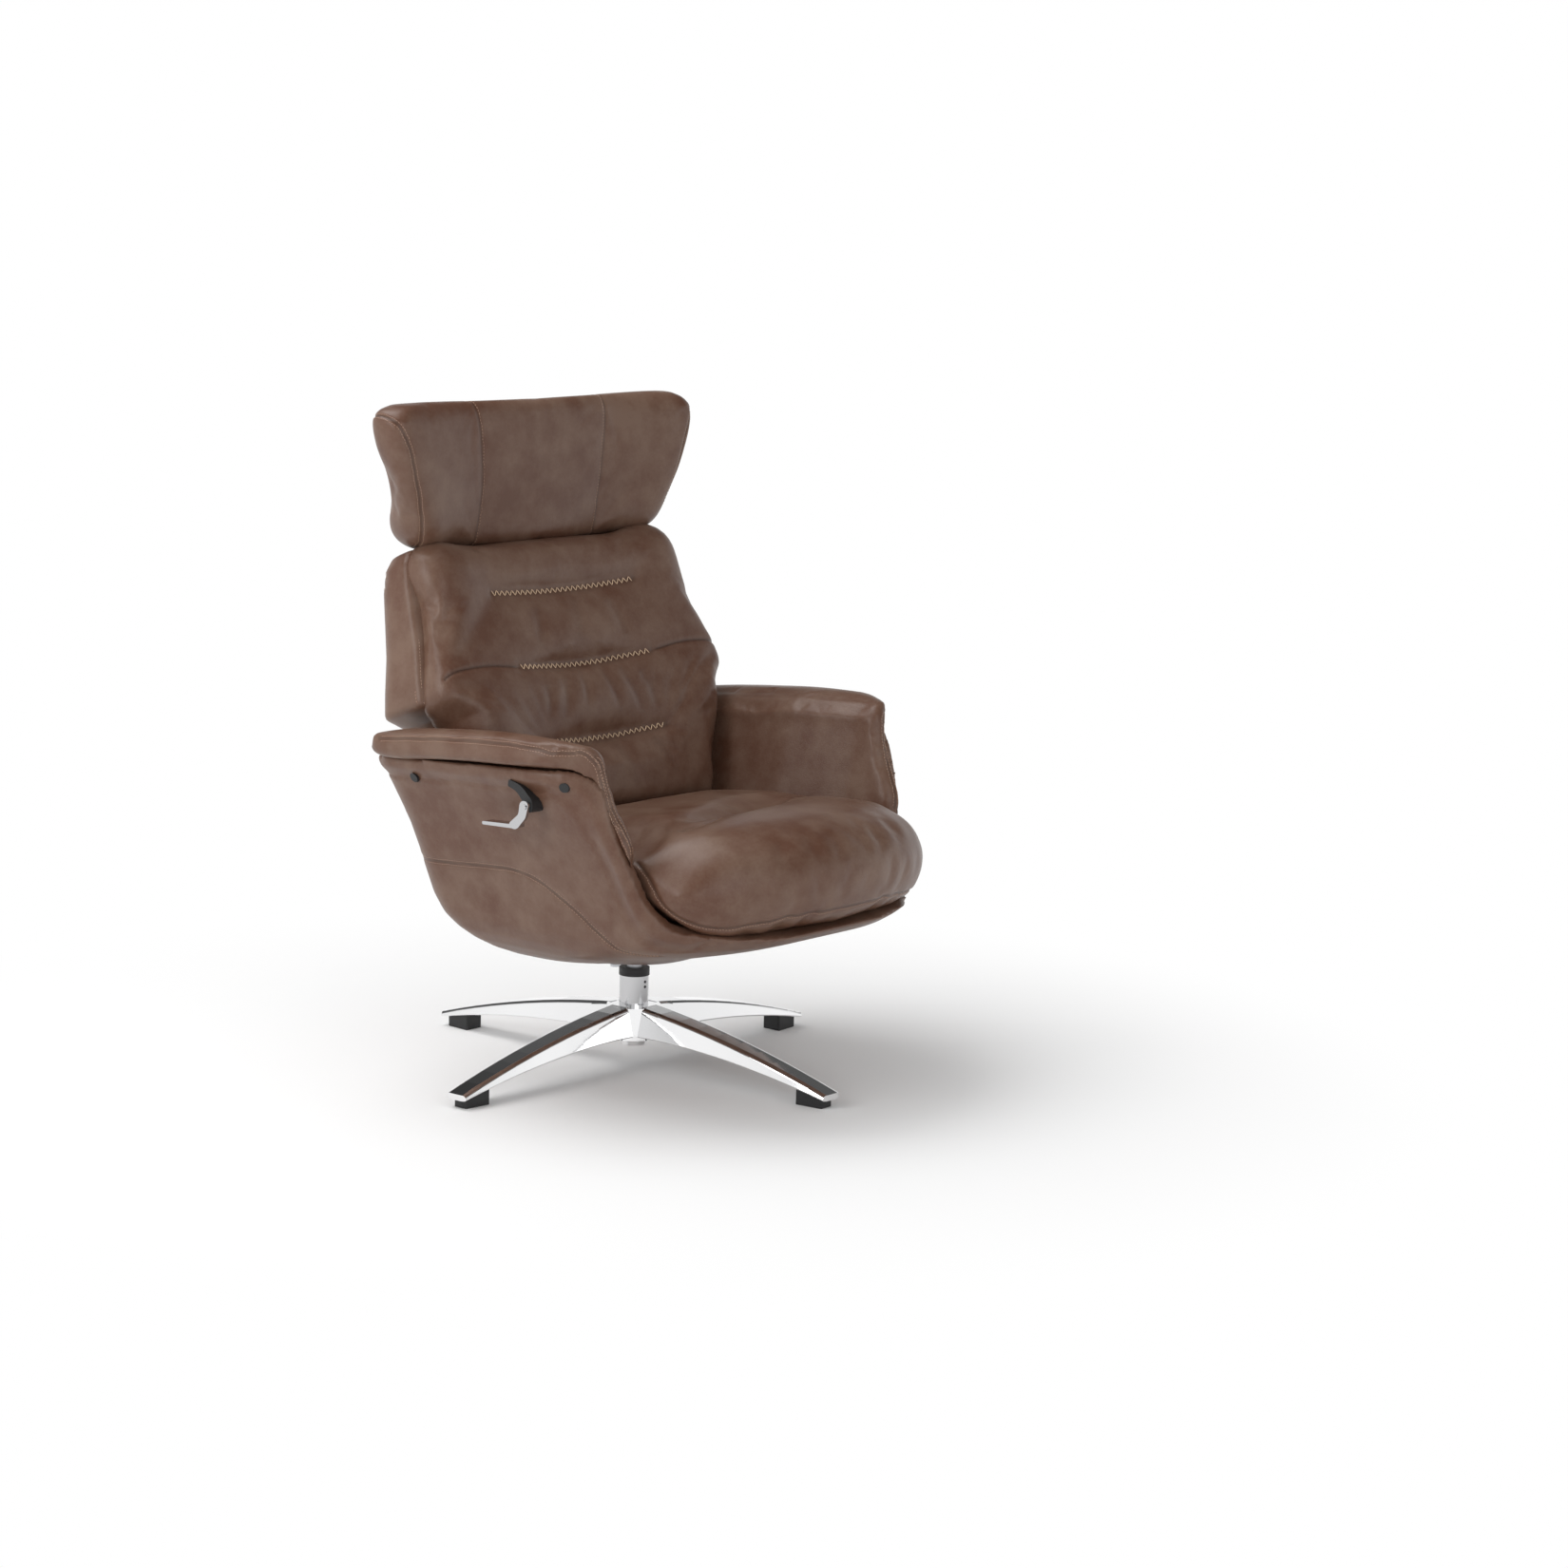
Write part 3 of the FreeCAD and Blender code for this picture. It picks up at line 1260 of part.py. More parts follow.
def lever_plane():
    """The outer face of the lever's housing, out from the middle."""
    return size("tub_half_width") - size("lever_set_in")


def lever_housing():
    """A curved black arm that lies on the shell, from under the rim to the pin."""
    y = size("lever_back")
    z = size("lever_height")
    side = [
        (y + 38, z + 36, 3),
        (y + 14, z + 30, 40),
        (y - 9, z + 10, 14),
        (y - 10, z - 9, 9),
        (y + 8, z - 9, 9),
        (y + 9, z + 6, 14),
        (y + 22, z + 20, 30),
        (y + 40, z + 26, 3),
    ]
    outer_face = -lever_plane()
    arm = extruded_side(side, outer_face, outer_face + 82).cut(outer_bowl)
    hole = Part.makeCylinder(size("lever_pin_radius"), 80, Vector(outer_face - 20, y, z), Vector(1, 0, 0))
    return arm.cut(hole)


def lever_pin():
    start = -lever_plane() - size("lever_arm_thickness") - size("side_gap") / 2 - 2
    centre = Vector(start, size("lever_back"), size("lever_height"))
    return Part.makeCylinder(size("lever_pin_radius"), 60, centre, Vector(1, 0, 0)).cut(outer_bowl)


def recline_lever():
    """A flat steel paddle: an eye on the pin, a short arm down and a grip that points to the rear."""
    y = size("lever_back")
    z = size("lever_height")
    inner = -lever_plane() - size("side_gap") / 2
    outer = inner - size("lever_arm_thickness")
    arm_side = [
        (y - 9, z + 9, 8.5),
        (y + 9, z + 9, 8.5),
        (y + 12, z - 12, 10),
        (y + 30, z - 27, 12),
        (y + 30, z - 33, 2),
        (y + 16, z - 36, 14),
        (y - 2, z - 16, 14),
    ]
    arm = extruded_side(arm_side, outer, inner)
    grip_side = [
        (y + 18, z - 28, 1),
        (y + size("lever_reach"), z - 31, 2),
        (y + size("lever_reach"), z - 36, 2),
        (y + 18, z - 34, 1),
    ]
    grip = extruded_side(grip_side, outer, outer + size("lever_width"))
    hole = Part.makeCylinder(size("lever_pin_radius") + size("running_gap"), 60, Vector(outer - 10, y, z), Vector(1, 0, 0))
    return arm.fuse(grip).cut(hole)


solid("lever_housing", lever_housing())
solid("lever_pin", lever_pin())
solid("recline_lever", recline_lever())


doc.recompute()

NODES = [
    "star_base", "glide_left", "glide_rear", "glide_right", "glide_front", "glide_screws",
    "column_sleeve", "lower_bush", "upper_bush", "thrust_washer", "column_collar", "sleeve_set_screws",
    "swivel_post", "post_clip", "post_washer", "mounting_plate", "plate_bolts", "chassis_frame",
    "slide_rail_left", "slide_rail_right", "pivot_bracket_left", "pivot_bracket_right",
    "pivot_pin_left", "pivot_pin_right", "gas_spring_cylinder", "gas_spring_bracket",
    "tub_shell", "arm_pad_left", "arm_pad_right", "arm_bolts", "arm_bolt_caps",
    "lever_housing", "lever_pin", "recline_lever",
    "seat_pan", "seat_runner_left", "seat_runner_right", "seat_drive_plate_left", "seat_drive_plate_right",
    "gas_spring_rod", "gas_spring_anchor", "seat_cushion",
    "back_frame", "drive_pin_left", "drive_pin_right", "back_board", "back_cushion", "back_cover",
    "headrest_guide_left", "headrest_guide_right", "headrest_carrier", "headrest_hinge_pin",
    "headrest_core", "headrest_cushion",
]
failed = []
for thing in doc.Objects:
    if "Invalid" in thing.State or "Error" in thing.State:
        failed.append(thing.Label)
for name in NODES:
    shape = doc.getObjectsByLabel(name)[0].Shape
    if shape.isNull() or not shape.isValid() or not shape.Solids or shape.Volume <= 0:
        failed.append(name)
    else:
        low = shape.BoundBox
        print(name, len(shape.Solids), round(shape.Volume), [round(v) for v in (low.XMin, low.XMax, low.YMin, low.YMax, low.ZMin, low.ZMax)])
if failed:
    raise RuntimeError("failed: " + ", ".join(failed))
os.makedirs("parts", exist_ok=True)
for name in NODES:
    doc.getObjectsByLabel(name)[0].Shape.exportStep(f"parts/{name}.step")
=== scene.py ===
import json
from math import cos, pi, radians, sin

import bmesh
import bpy
import numpy as np
from mathutils import Matrix, Vector
from mathutils.bvhtree import BVHTree


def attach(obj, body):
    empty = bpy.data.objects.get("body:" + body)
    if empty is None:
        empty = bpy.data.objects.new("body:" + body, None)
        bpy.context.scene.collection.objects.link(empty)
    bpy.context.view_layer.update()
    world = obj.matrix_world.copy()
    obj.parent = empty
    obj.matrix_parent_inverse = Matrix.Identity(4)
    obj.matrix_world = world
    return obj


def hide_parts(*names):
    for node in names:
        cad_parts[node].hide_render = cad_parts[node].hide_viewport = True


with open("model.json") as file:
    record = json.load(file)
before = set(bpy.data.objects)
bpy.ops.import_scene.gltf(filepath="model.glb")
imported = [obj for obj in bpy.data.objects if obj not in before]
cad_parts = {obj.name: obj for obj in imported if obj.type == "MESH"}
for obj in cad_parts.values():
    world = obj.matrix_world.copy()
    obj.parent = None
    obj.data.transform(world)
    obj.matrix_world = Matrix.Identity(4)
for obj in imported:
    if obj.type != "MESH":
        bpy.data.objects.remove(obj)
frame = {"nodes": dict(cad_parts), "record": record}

# A leather swivel recliner, in metres: the sitter faces -Y, the release lever is on the -X side

scene = bpy.context.scene
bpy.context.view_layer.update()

# Places on the back, which leans about its pivot
PIVOT = Vector((0, 0.075, 0.332))
LEAN = radians(21)
UP_BACK = Vector((0, sin(LEAN), cos(LEAN)))
OUT_BACK = Vector((0, -cos(LEAN), sin(LEAN)))

# Leather: grid sizes for the covers, and how far filling may swell them
FINE_GRID = 0.006
TUB_GRID = 0.0048
SHRINK = 0.0035
SWELL_LIMIT = 0.009
SWELL_FRAMES = 14

# Seams and threads
SEAM_WIDTH = 0.0035
SEAM_DEPTH = 0.0022
STITCH_LENGTH = 0.0036
STITCH_PITCH = 0.0050
THREAD_RADIUS = 0.00042
SEAM_TO_STITCH = 0.0038
ZIGZAG_WIDTH = 0.0095
ZIGZAG_PITCH = 0.0118
ZIGZAG_RADIUS = 0.00080


# Node groups

def node_group(name, inputs, outputs):
    group = bpy.data.node_groups.new(name, "ShaderNodeTree")
    for label, kind, default in inputs:
        socket = group.interface.new_socket(label, in_out="INPUT", socket_type=kind)
        socket.default_value = default
    for label, kind in outputs:
        group.interface.new_socket(label, in_out="OUTPUT", socket_type=kind)
    return group, group.nodes.new("NodeGroupInput"), group.nodes.new("NodeGroupOutput")


def add_node(tree, kind, links=None, **settings):
    """A node with its settings, and its inputs linked or set by name."""
    node = tree.nodes.new(kind)
    for name, value in settings.items():
        setattr(node, name, value)
    for name, value in (links or {}).items():
        socket = node.inputs[name]
        if isinstance(value, bpy.types.NodeSocket):
            tree.links.new(value, socket)
        else:
            socket.default_value = value
    return node


def noise(tree, place, scale, detail, roughness=0.5):
    """A cloudy value over a place, from 0 to 1."""
    settings = {"Vector": place, "Scale": scale, "Detail": detail, "Roughness": roughness}
    return add_node(tree, "ShaderNodeTexNoise", settings).outputs["Fac"]


def calculate(tree, operation, *values):
    """The result of a sum on numbers and sockets."""
    return add_node(tree, "ShaderNodeMath", dict(enumerate(values)), operation=operation).outputs[0]


def bump_normal(tree, height, strength, distance):
    settings = {"Height": height, "Strength": strength, "Distance": distance}
    return add_node(tree, "ShaderNodeBump", settings).outputs["Normal"]


def mix_shaders(tree, factor, first, second):
    return add_node(tree, "ShaderNodeMixShader", {0: factor, 1: first, 2: second}).outputs[0]


def mix_colors(tree, factor, first, second):
    """A mix of two colours, whose sockets share their names with other kinds and go by number."""
    mix = tree.nodes.new("ShaderNodeMix")
    mix.data_type = "RGBA"
    for number, source in ((0, factor), (6, first), (7, second)):
        tree.links.new(source, mix.inputs[number])
    return mix


# Leather: its specks' weight in the tone, the tone left where shade is painted into seams and creases, the
# change of gloss, its folds' weight
SPECK_SHARE = 0.22
CREASE_PAINTED_SHADE = 0.42
GLOSS_SPREAD = 0.16
FOLD_SHARE = 1.6


def build_hide_group():
    """Leather's look over a place: cloudy tone with painted shade where its input is set, fine grain height
    with soft folds, and a changing gloss.
    """
    inputs = [
        ("Place", "NodeSocketVector", (0, 0, 0)),
        ("Light", "NodeSocketColor", (0.2, 0.13, 0.1, 1)),
        ("Dark", "NodeSocketColor", (0.1, 0.05, 0.03, 1)),
        ("Painted_shade", "NodeSocketFloat", 0.0),
        ("Gloss", "NodeSocketFloat", 0.45),
    ]
    outputs = [
        ("Color", "NodeSocketColor"),
        ("Roughness", "NodeSocketFloat"),
        ("Height", "NodeSocketFloat"),
    ]
    group, given, result = node_group("hide", inputs, outputs)
    place = given.outputs["Place"]
    cloud = noise(group, place, 7.0, 3.0, 0.55)
    patch = noise(group, place, 26.0, 4.0, 0.6)
    speck = noise(group, place, 240.0, 2.0)
    both = calculate(group, "ADD", cloud, patch)
    toned = calculate(group, "MULTIPLY_ADD", speck, SPECK_SHARE, both)
    share = add_node(group, "ShaderNodeMapRange", {"Value": toned, "From Min": 0.86, "From Max": 1.36})
    tone = mix_colors(group, share.outputs[0], given.outputs["Dark"], given.outputs["Light"])
    # Painted shade: where the input is set, along seams, rows and creases, the tone is made darker, as shade
    # in a fold would make it
    crease_with_painted_shade = {"Value": given.outputs["Painted_shade"], "To Min": 1.0, "To Max": CREASE_PAINTED_SHADE}
    shade = add_node(group, "ShaderNodeMapRange", crease_with_painted_shade)
    tone_with_painted_shade = add_node(group, "ShaderNodeVectorMath", {0: tone.outputs[2]}, operation="SCALE")
    group.links.new(shade.outputs[0], tone_with_painted_shade.inputs["Scale"])
    group.links.new(tone_with_painted_shade.outputs[0], result.inputs["Color"])
    rough = calculate(group, "MULTIPLY_ADD", patch, GLOSS_SPREAD, given.outputs["Gloss"])
    group.links.new(rough, result.inputs["Roughness"])
    pores = add_node(group, "ShaderNodeTexVoronoi", {"Vector": place, "Scale": 620.0}, feature="SMOOTH_F1")
    folds = noise(group, place, 95.0, 3.0)
    height = calculate(group, "MULTIPLY_ADD", folds, FOLD_SHARE, pores.outputs["Distance"])
    group.links.new(height, result.inputs["Height"])
    return group


HIDE = build_hide_group()


def build_wear_group():
    """Fine scratches and a faint cloud for metal and plastic: a height and a change of gloss."""
    inputs = [
        ("Place", "NodeSocketVector", (0, 0, 0)),
        ("Gloss", "NodeSocketFloat", 0.1),
        ("Spread", "NodeSocketFloat", 0.1),
    ]
    outputs = [("Roughness", "NodeSocketFloat"), ("Height", "NodeSocketFloat")]
    group, given, result = node_group("wear", inputs, outputs)
    cloud = noise(group, given.outputs["Place"], 60.0, 4.0)
    rough = calculate(group, "MULTIPLY_ADD", cloud, given.outputs["Spread"], given.outputs["Gloss"])
    group.links.new(rough, result.inputs["Roughness"])
    grain = noise(group, given.outputs["Place"], 900.0, 2.0)
    group.links.new(grain, result.inputs["Height"])
    return group


WEAR = build_wear_group()


# Materials

def new_material(name):
    material = bpy.data.materials.new(name)
    material.use_nodes = True
    tree = material.node_tree
    shader = tree.nodes["Principled BSDF"]
    place = tree.nodes.new("ShaderNodeTexCoord").outputs["Object"]
    return material, tree, shader, place


def leather(name, light, dark, gloss, grain=0.00022):
    material, tree, shader, place = new_material(name)
    # This attribute holds painted shade, set along seams, rows and creases where the covers are pressed in
    crease_with_painted_shade = add_node(tree, "ShaderNodeAttribute", attribute_name="crease_with_painted_shade")
    hide = tree.nodes.new("ShaderNodeGroup")
    hide.node_tree = HIDE
    tree.links.new(place, hide.inputs["Place"])
    tree.links.new(crease_with_painted_shade.outputs["Fac"], hide.inputs["Painted_shade"])
    hide.inputs["Light"].default_value = (*light, 1)
    hide.inputs["Dark"].default_value = (*dark, 1)
    hide.inputs["Gloss"].default_value = gloss
    normal = bump_normal(tree, hide.outputs["Height"], 0.55, grain)
    tree.links.new(hide.outputs["Color"], shader.inputs["Base Color"])
    tree.links.new(hide.outputs["Roughness"], shader.inputs["Roughness"])
    tree.links.new(normal, shader.inputs["Normal"])
    shader.inputs["Specular IOR Level"].default_value = 0.38
    return material


def hard(name, color, gloss, spread=0.06, metallic=0.0, grain=0.00002):
    """Metal or plastic with a faint wear in its gloss and a fine surface."""
    material, tree, shader, place = new_material(name)
    wear = tree.nodes.new("ShaderNodeGroup")
    wear.node_tree = WEAR
    tree.links.new(place, wear.inputs["Place"])
    wear.inputs["Gloss"].default_value = gloss
    wear.inputs["Spread"].default_value = spread
    normal = bump_normal(tree, wear.outputs["Height"], 0.3, grain)
    tree.links.new(wear.outputs["Roughness"], shader.inputs["Roughness"])
    tree.links.new(normal, shader.inputs["Normal"])
    shader.inputs["Base Color"].default_value = (*color, 1)
    shader.inputs["Metallic"].default_value = metallic
    return material


def plywood():
    material, tree, shader, place = new_material("plywood")
    stretched = add_node(tree, "ShaderNodeMapping", {"Vector": place, "Scale": (4, 40, 90)})
    rings = noise(tree, stretched.outputs[0], 3.0, 5.0)
    ramp = add_node(tree, "ShaderNodeValToRGB", {"Fac": rings})
    ramp.color_ramp.elements[0].color = (0.42, 0.26, 0.13, 1)
    ramp.color_ramp.elements[1].color = (0.66, 0.48, 0.29, 1)
    tree.links.new(ramp.outputs["Color"], shader.inputs["Base Color"])
    tree.links.new(bump_normal(tree, rings, 0.3, 0.0003), shader.inputs["Normal"])
    shader.inputs["Roughness"].default_value = 0.6
    return material


def thread(name, color):
    material, tree, shader, place = new_material(name)
    twist = add_node(tree, "ShaderNodeTexWave", {"Vector": place, "Scale": 420.0, "Distortion": 1.0})
    tree.links.new(bump_normal(tree, twist.outputs["Fac"], 0.4, 0.0002), shader.inputs["Normal"])
    shader.inputs["Base Color"].default_value = (*color, 1)
    shader.inputs["Roughness"].default_value = 0.6
    return material


HIDE_LIGHT = (0.170, 0.102, 0.071)
HIDE_DARK = (0.112, 0.050, 0.030)
FINISHES = {
    "leather": leather("brown_leather", HIDE_LIGHT, HIDE_DARK, 0.30),
    "polished_aluminium": hard("polished_aluminium", (0.9, 0.9, 0.905), 0.04, 0.05, 1.0),
    "bright_steel": hard("bright_steel", (0.56, 0.56, 0.57), 0.08, 0.06, 1.0),
    "satin_steel": hard("satin_steel", (0.55, 0.56, 0.58), 0.26, 0.1, 1.0),
    "black_steel": hard("black_steel", (0.022, 0.022, 0.024), 0.38, 0.15),
    "black_plastic": hard("black_plastic", (0.014, 0.014, 0.015), 0.42, 0.15, grain=0.0001),
    "bush_plastic": hard("bush_plastic", (0.62, 0.6, 0.55), 0.45, 0.1, grain=0.0001),
    "plywood": plywood(),
}
TAN_THREAD = thread("tan_thread", (0.74, 0.53, 0.36))
PALE_THREAD = thread("pale_thread", (0.44, 0.28, 0.20))

slot_of = {part["node"]: part["material_slot"] for part in frame["record"]["subparts"]}
for node, piece in frame["nodes"].items():
    piece.data.materials.clear()
    piece.data.materials.append(FINISHES[slot_of[node]])


# Mesh helpers

def add_piece(name, mesh):
    piece = bpy.data.objects.new(name, mesh)
    scene.collection.objects.link(piece)
    return piece


def shade_smooth(mesh):
    mesh.polygons.foreach_set("use_smooth", [True] * len(mesh.polygons))


def apply_modifiers(piece):
    """Bake a piece's modifiers into its mesh."""
    evaluated = piece.evaluated_get(bpy.context.evaluated_depsgraph_get())
    baked = bpy.data.meshes.new_from_object(evaluated)
    piece.modifiers.clear()
    piece.data = baked
    return piece


def get_points(piece):
    flat = np.empty(len(piece.data.vertices) * 3)
    piece.data.vertices.foreach_get("co", flat)
    return flat.reshape(-1, 3)


def set_points(piece, points):
    piece.data.vertices.foreach_set("co", points.ravel())
    piece.data.update()


def get_normals(piece):
    flat = np.empty(len(piece.data.vertices) * 3)
    piece.data.vertex_normals.foreach_get("vector", flat)
    return flat.reshape(-1, 3)


def relax(piece, rounds, factor=0.5):
    smooth = piece.modifiers.new("relax", "SMOOTH")
    smooth.iterations = rounds
    smooth.factor = factor
    return apply_modifiers(piece)


def cover_of(node, name, grid, rounds):
    """A closed, evenly meshed cover in the shape of a solid of the frame."""
    mesh = frame["nodes"][node].data.copy()
    merged = bmesh.new()
    merged.from_mesh(mesh)
    bmesh.ops.remove_doubles(merged, verts=merged.verts, dist=0.00002)
    merged.to_mesh(mesh)
    merged.free()
    piece = add_piece(name, mesh)
    remesh = piece.modifiers.new("grid", "REMESH")
    remesh.mode = "VOXEL"
    remesh.voxel_size = grid
    apply_modifiers(piece)
    return relax(piece, rounds)


def refine(piece):
    finer = piece.modifiers.new("finer", "SUBSURF")
    finer.levels = 1
    finer.render_levels = 1
    apply_modifiers(piece)
    shade_smooth(piece.data)
    return piece


# Lines: seams, creases and rows of thread

def eased(points, step=0.002):
    """A smooth curve through a few points, read at even steps."""
    points = [np.array(p, float) for p in points]
    ends = [2 * points[0] - points[1], *points, 2 * points[-1] - points[-2]]
    dense = []
    for before, start, end, after in zip(ends, ends[1:], ends[2:], ends[3:]):
        for t in np.linspace(0, 1, 24, endpoint=False):
            bend = (end - before) * t + (2 * before - 5 * start + 4 * end - after) * t ** 2
            dense.append(start + 0.5 * (bend + (3 * start - before - 3 * end + after) * t ** 3))
    dense.append(points[-1])
    dense = np.array(dense)
    lengths = np.concatenate([[0], np.cumsum(np.linalg.norm(np.diff(dense, axis=0), axis=1))])
    count = max(2, int(lengths[-1] / step))
    places = np.linspace(0, lengths[-1], count)
    return np.stack([np.interp(places, lengths, dense[:, k]) for k in range(3)], axis=1)


def skin_of(piece):
    return BVHTree.FromObject(piece, bpy.context.evaluated_depsgraph_get())


def lay_on(skin, line, lift=0.0):
    """A line dropped onto a surface, with the surface's direction at each point."""
    placed = []
    normals = []
    for point in line:
        near, normal, _, _ = skin.find_nearest(Vector(point))
        placed.append(np.array(near) + np.array(normal) * lift)
        normals.append(np.array(normal))
    return np.array(placed), np.array(normals)


def sideways(line, normals):
    """Unit directions across a line, in the surface."""
    along = np.gradient(line, axis=0)
    across = np.cross(along, normals)
    return across / np.maximum(np.linalg.norm(across, axis=1), 1e-9)[:, None]


def nearness(points, line, reach=0.03):
    """Each point's distance to a line, and how far along it the nearest place is, from 0 to 1."""
    distance = np.full(len(points), 1.0)
    share = np.zeros(len(points))
    for start in range(0, len(line), 12):
        run = line[start:start + 12]
        low = run.min(axis=0) - reach
        high = run.max(axis=0) + reach
        close = np.flatnonzero(np.all((points > low) & (points < high), axis=1))
        if len(close) == 0:
            continue
        gaps = np.linalg.norm(points[close][:, None, :] - run[None, :, :], axis=2)
        best = gaps.argmin(axis=1)
        nearest = gaps[np.arange(len(close)), best]
        nearer = nearest < distance[close]
        distance[close[nearer]] = nearest[nearer]
        share[close[nearer]] = (start + best[nearer]) / max(1, len(line) - 1)
    return distance, share


def paint_shade(piece, amounts):
    """Add painted shade to the attribute that the leather reads, which makes its colour darker where shade
    falls in seams, rows and creases.
    """
    layer = piece.data.attributes.get("crease_with_painted_shade") or piece.data.attributes.new("crease_with_painted_shade", "FLOAT", "POINT")
    values = np.zeros(len(piece.data.vertices))
    layer.data.foreach_get("value", values)
    layer.data.foreach_set("value", np.clip(np.maximum(values, amounts), 0, 1))


def press(piece, line, depth, width, dark=1.0, taper=False):
    """Pull the surface in along a line, as a seam or a fold does, and paint shade along it into the
    leather's colour, weighted by dark.
    """
    points = get_points(piece)
    distance, share = nearness(points, line)
    amount = np.exp(-((distance / width) ** 2))
    if taper:
        amount *= np.sin(np.clip(share, 0.02, 0.98) * pi) ** 0.7
    set_points(piece, points - get_normals(piece) * (depth * amount)[:, None])
    paint_shade(piece, dark * np.exp(-((distance / (width * 0.55)) ** 2)) * (amount > 0.02))


def soften(piece, lines, width, rounds):
    """Smooth a cover only along some lines."""
    points = get_points(piece)
    weights = np.zeros(len(points))
    for line in lines:
        distance, _ = nearness(points, line, width * 2)
        weights = np.maximum(weights, np.exp(-((distance / width) ** 2)))
    group = piece.vertex_groups.new(name="soft")
    for index in np.flatnonzero(weights > 0.03):
        group.add([int(index)], float(weights[index]), "REPLACE")
    smooth = piece.modifiers.new("soften", "SMOOTH")
    smooth.iterations = rounds
    smooth.factor = 0.5
    smooth.vertex_group = "soft"
    apply_modifiers(piece)
    piece.vertex_groups.clear()
    return piece


def eased_share(share):
    """A share from 0 to 1 that starts and ends gently."""
    return share * share * (3 - 2 * share)


def fill_out(piece, centre, reach, amount):
    """Push a cover outwards about a place."""
    points = get_points(piece)
    distance = np.linalg.norm((points - np.array(centre)) / np.array(reach), axis=1)
    set_points(piece, points + get_normals(piece) * (amount * np.exp(-distance ** 2))[:, None])


def swell(piece, held_lines, pressure=4.0, limit=SWELL_LIMIT, held_width=0.006):
    """Fill a cover: it starts a little small, and stays in at its held lines."""
    start = get_points(piece) - get_normals(piece) * SHRINK
    set_points(piece, start)
    group = piece.vertex_groups.new(name="held")
    held = np.zeros(len(start))
    for line in held_lines:
        distance, _ = nearness(start, line)
        held = np.maximum(held, np.exp(-((distance / held_width) ** 2)))
    for index in np.flatnonzero(held > 0.05):
        group.add([int(index)], float(held[index]), "REPLACE")
    fill = piece.modifiers.new("fill", "CLOTH")
    fill.settings.quality = 4
    fill.settings.mass = 0.3
    fill.settings.tension_stiffness = 12
    fill.settings.compression_stiffness = 12
    fill.settings.shear_stiffness = 6
    fill.settings.bending_stiffness = 0.6
    fill.settings.use_pressure = True
    fill.settings.uniform_pressure_force = pressure
    fill.settings.effector_weights.gravity = 0
    fill.settings.vertex_group_mass = "held"
    fill.collision_settings.use_collision = False
    fill.collision_settings.use_self_collision = False
    for step in range(1, SWELL_FRAMES + 1):
        scene.frame_set(step)
    apply_modifiers(piece)
    scene.frame_set(1)
    moved = get_points(piece) - start
    length = np.linalg.norm(moved, axis=1)
    share = np.minimum(1, limit / np.maximum(length, 1e-9))
    set_points(piece, start + moved * share[:, None])
    return piece


def one_grain():
    mesh = bpy.data.meshes.new("grain")
    made = bmesh.new()
    bmesh.ops.create_uvsphere(made, u_segments=6, v_segments=5, radius=1)
    made.to_mesh(mesh)
    made.free()
    return mesh


GRAIN = one_grain()


def grain_of_rice(made, start, end, radius):
    """One stitch from start to end, its ends dipping into the leather."""
    start = Vector(start)
    end = Vector(end)
    turn = (end - start).to_track_quat("Z", "Y").to_matrix().to_4x4()
    stretch = Matrix.Diagonal((radius, radius, (end - start).length / 2, 1))
    stitch = GRAIN.copy()
    stitch.transform(Matrix.Translation((start + end) / 2) @ turn @ stretch)
    made.from_mesh(stitch)
    bpy.data.meshes.remove(stitch)


def finish_threads(made, name, body, material):
    mesh = bpy.data.meshes.new(name)
    made.to_mesh(mesh)
    made.free()
    mesh.materials.append(material)
    shade_smooth(mesh)
    piece = add_piece(name, mesh)
    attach(piece, body)
    return piece


def running_stitches(made, skin, line, offsets):
    """Rows of straight stitches beside a seam."""
    placed, normals = lay_on(skin, line)
    across = sideways(placed, normals)
    for offset in offsets:
        row, _ = lay_on(skin, placed + across * offset, THREAD_RADIUS * 0.4)
        lengths = np.concatenate([[0], np.cumsum(np.linalg.norm(np.diff(row, axis=0), axis=1))])
        for start in np.arange(STITCH_PITCH, lengths[-1] - STITCH_PITCH, STITCH_PITCH):
            ends = [start, start + STITCH_LENGTH]
            a, b = np.stack([np.interp(ends, lengths, row[:, k]) for k in range(3)], axis=1)
            grain_of_rice(made, a, b, THREAD_RADIUS)


def zigzag_stitches(made, skin, line):
    """A band of slanted stitches that meet in points on both sides of a line."""
    placed, normals = lay_on(skin, line)
    across = sideways(placed, normals)
    lengths = np.concatenate([[0], np.cumsum(np.linalg.norm(np.diff(placed, axis=0), axis=1))])
    corners = []
    for k, place in enumerate(np.arange(0, lengths[-1], ZIGZAG_PITCH / 2)):
        middle = np.array([np.interp(place, lengths, placed[:, i]) for i in range(3)])
        side = np.array([np.interp(place, lengths, across[:, i]) for i in range(3)])
        corners.append(middle + side * ZIGZAG_WIDTH / 2 * (1 if k % 2 else -1))
    corners, _ = lay_on(skin, corners, ZIGZAG_RADIUS * 0.6)
    for a, b in zip(corners, corners[1:]):
        grain_of_rice(made, a, b, ZIGZAG_RADIUS)


def dress(piece, body, nodes):
    """Give a finished cover its leather, its body and the solids that it stands for."""
    piece.data.materials.clear()
    piece.data.materials.append(FINISHES["leather"])
    shade_smooth(piece.data)
    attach(piece, body)
    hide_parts(*nodes)
    return piece


def both_sides(line):
    """A line on the right side, and its mirror on the left."""
    return [line, [(-x, y, z) for x, y, z in line]]


# Headrest

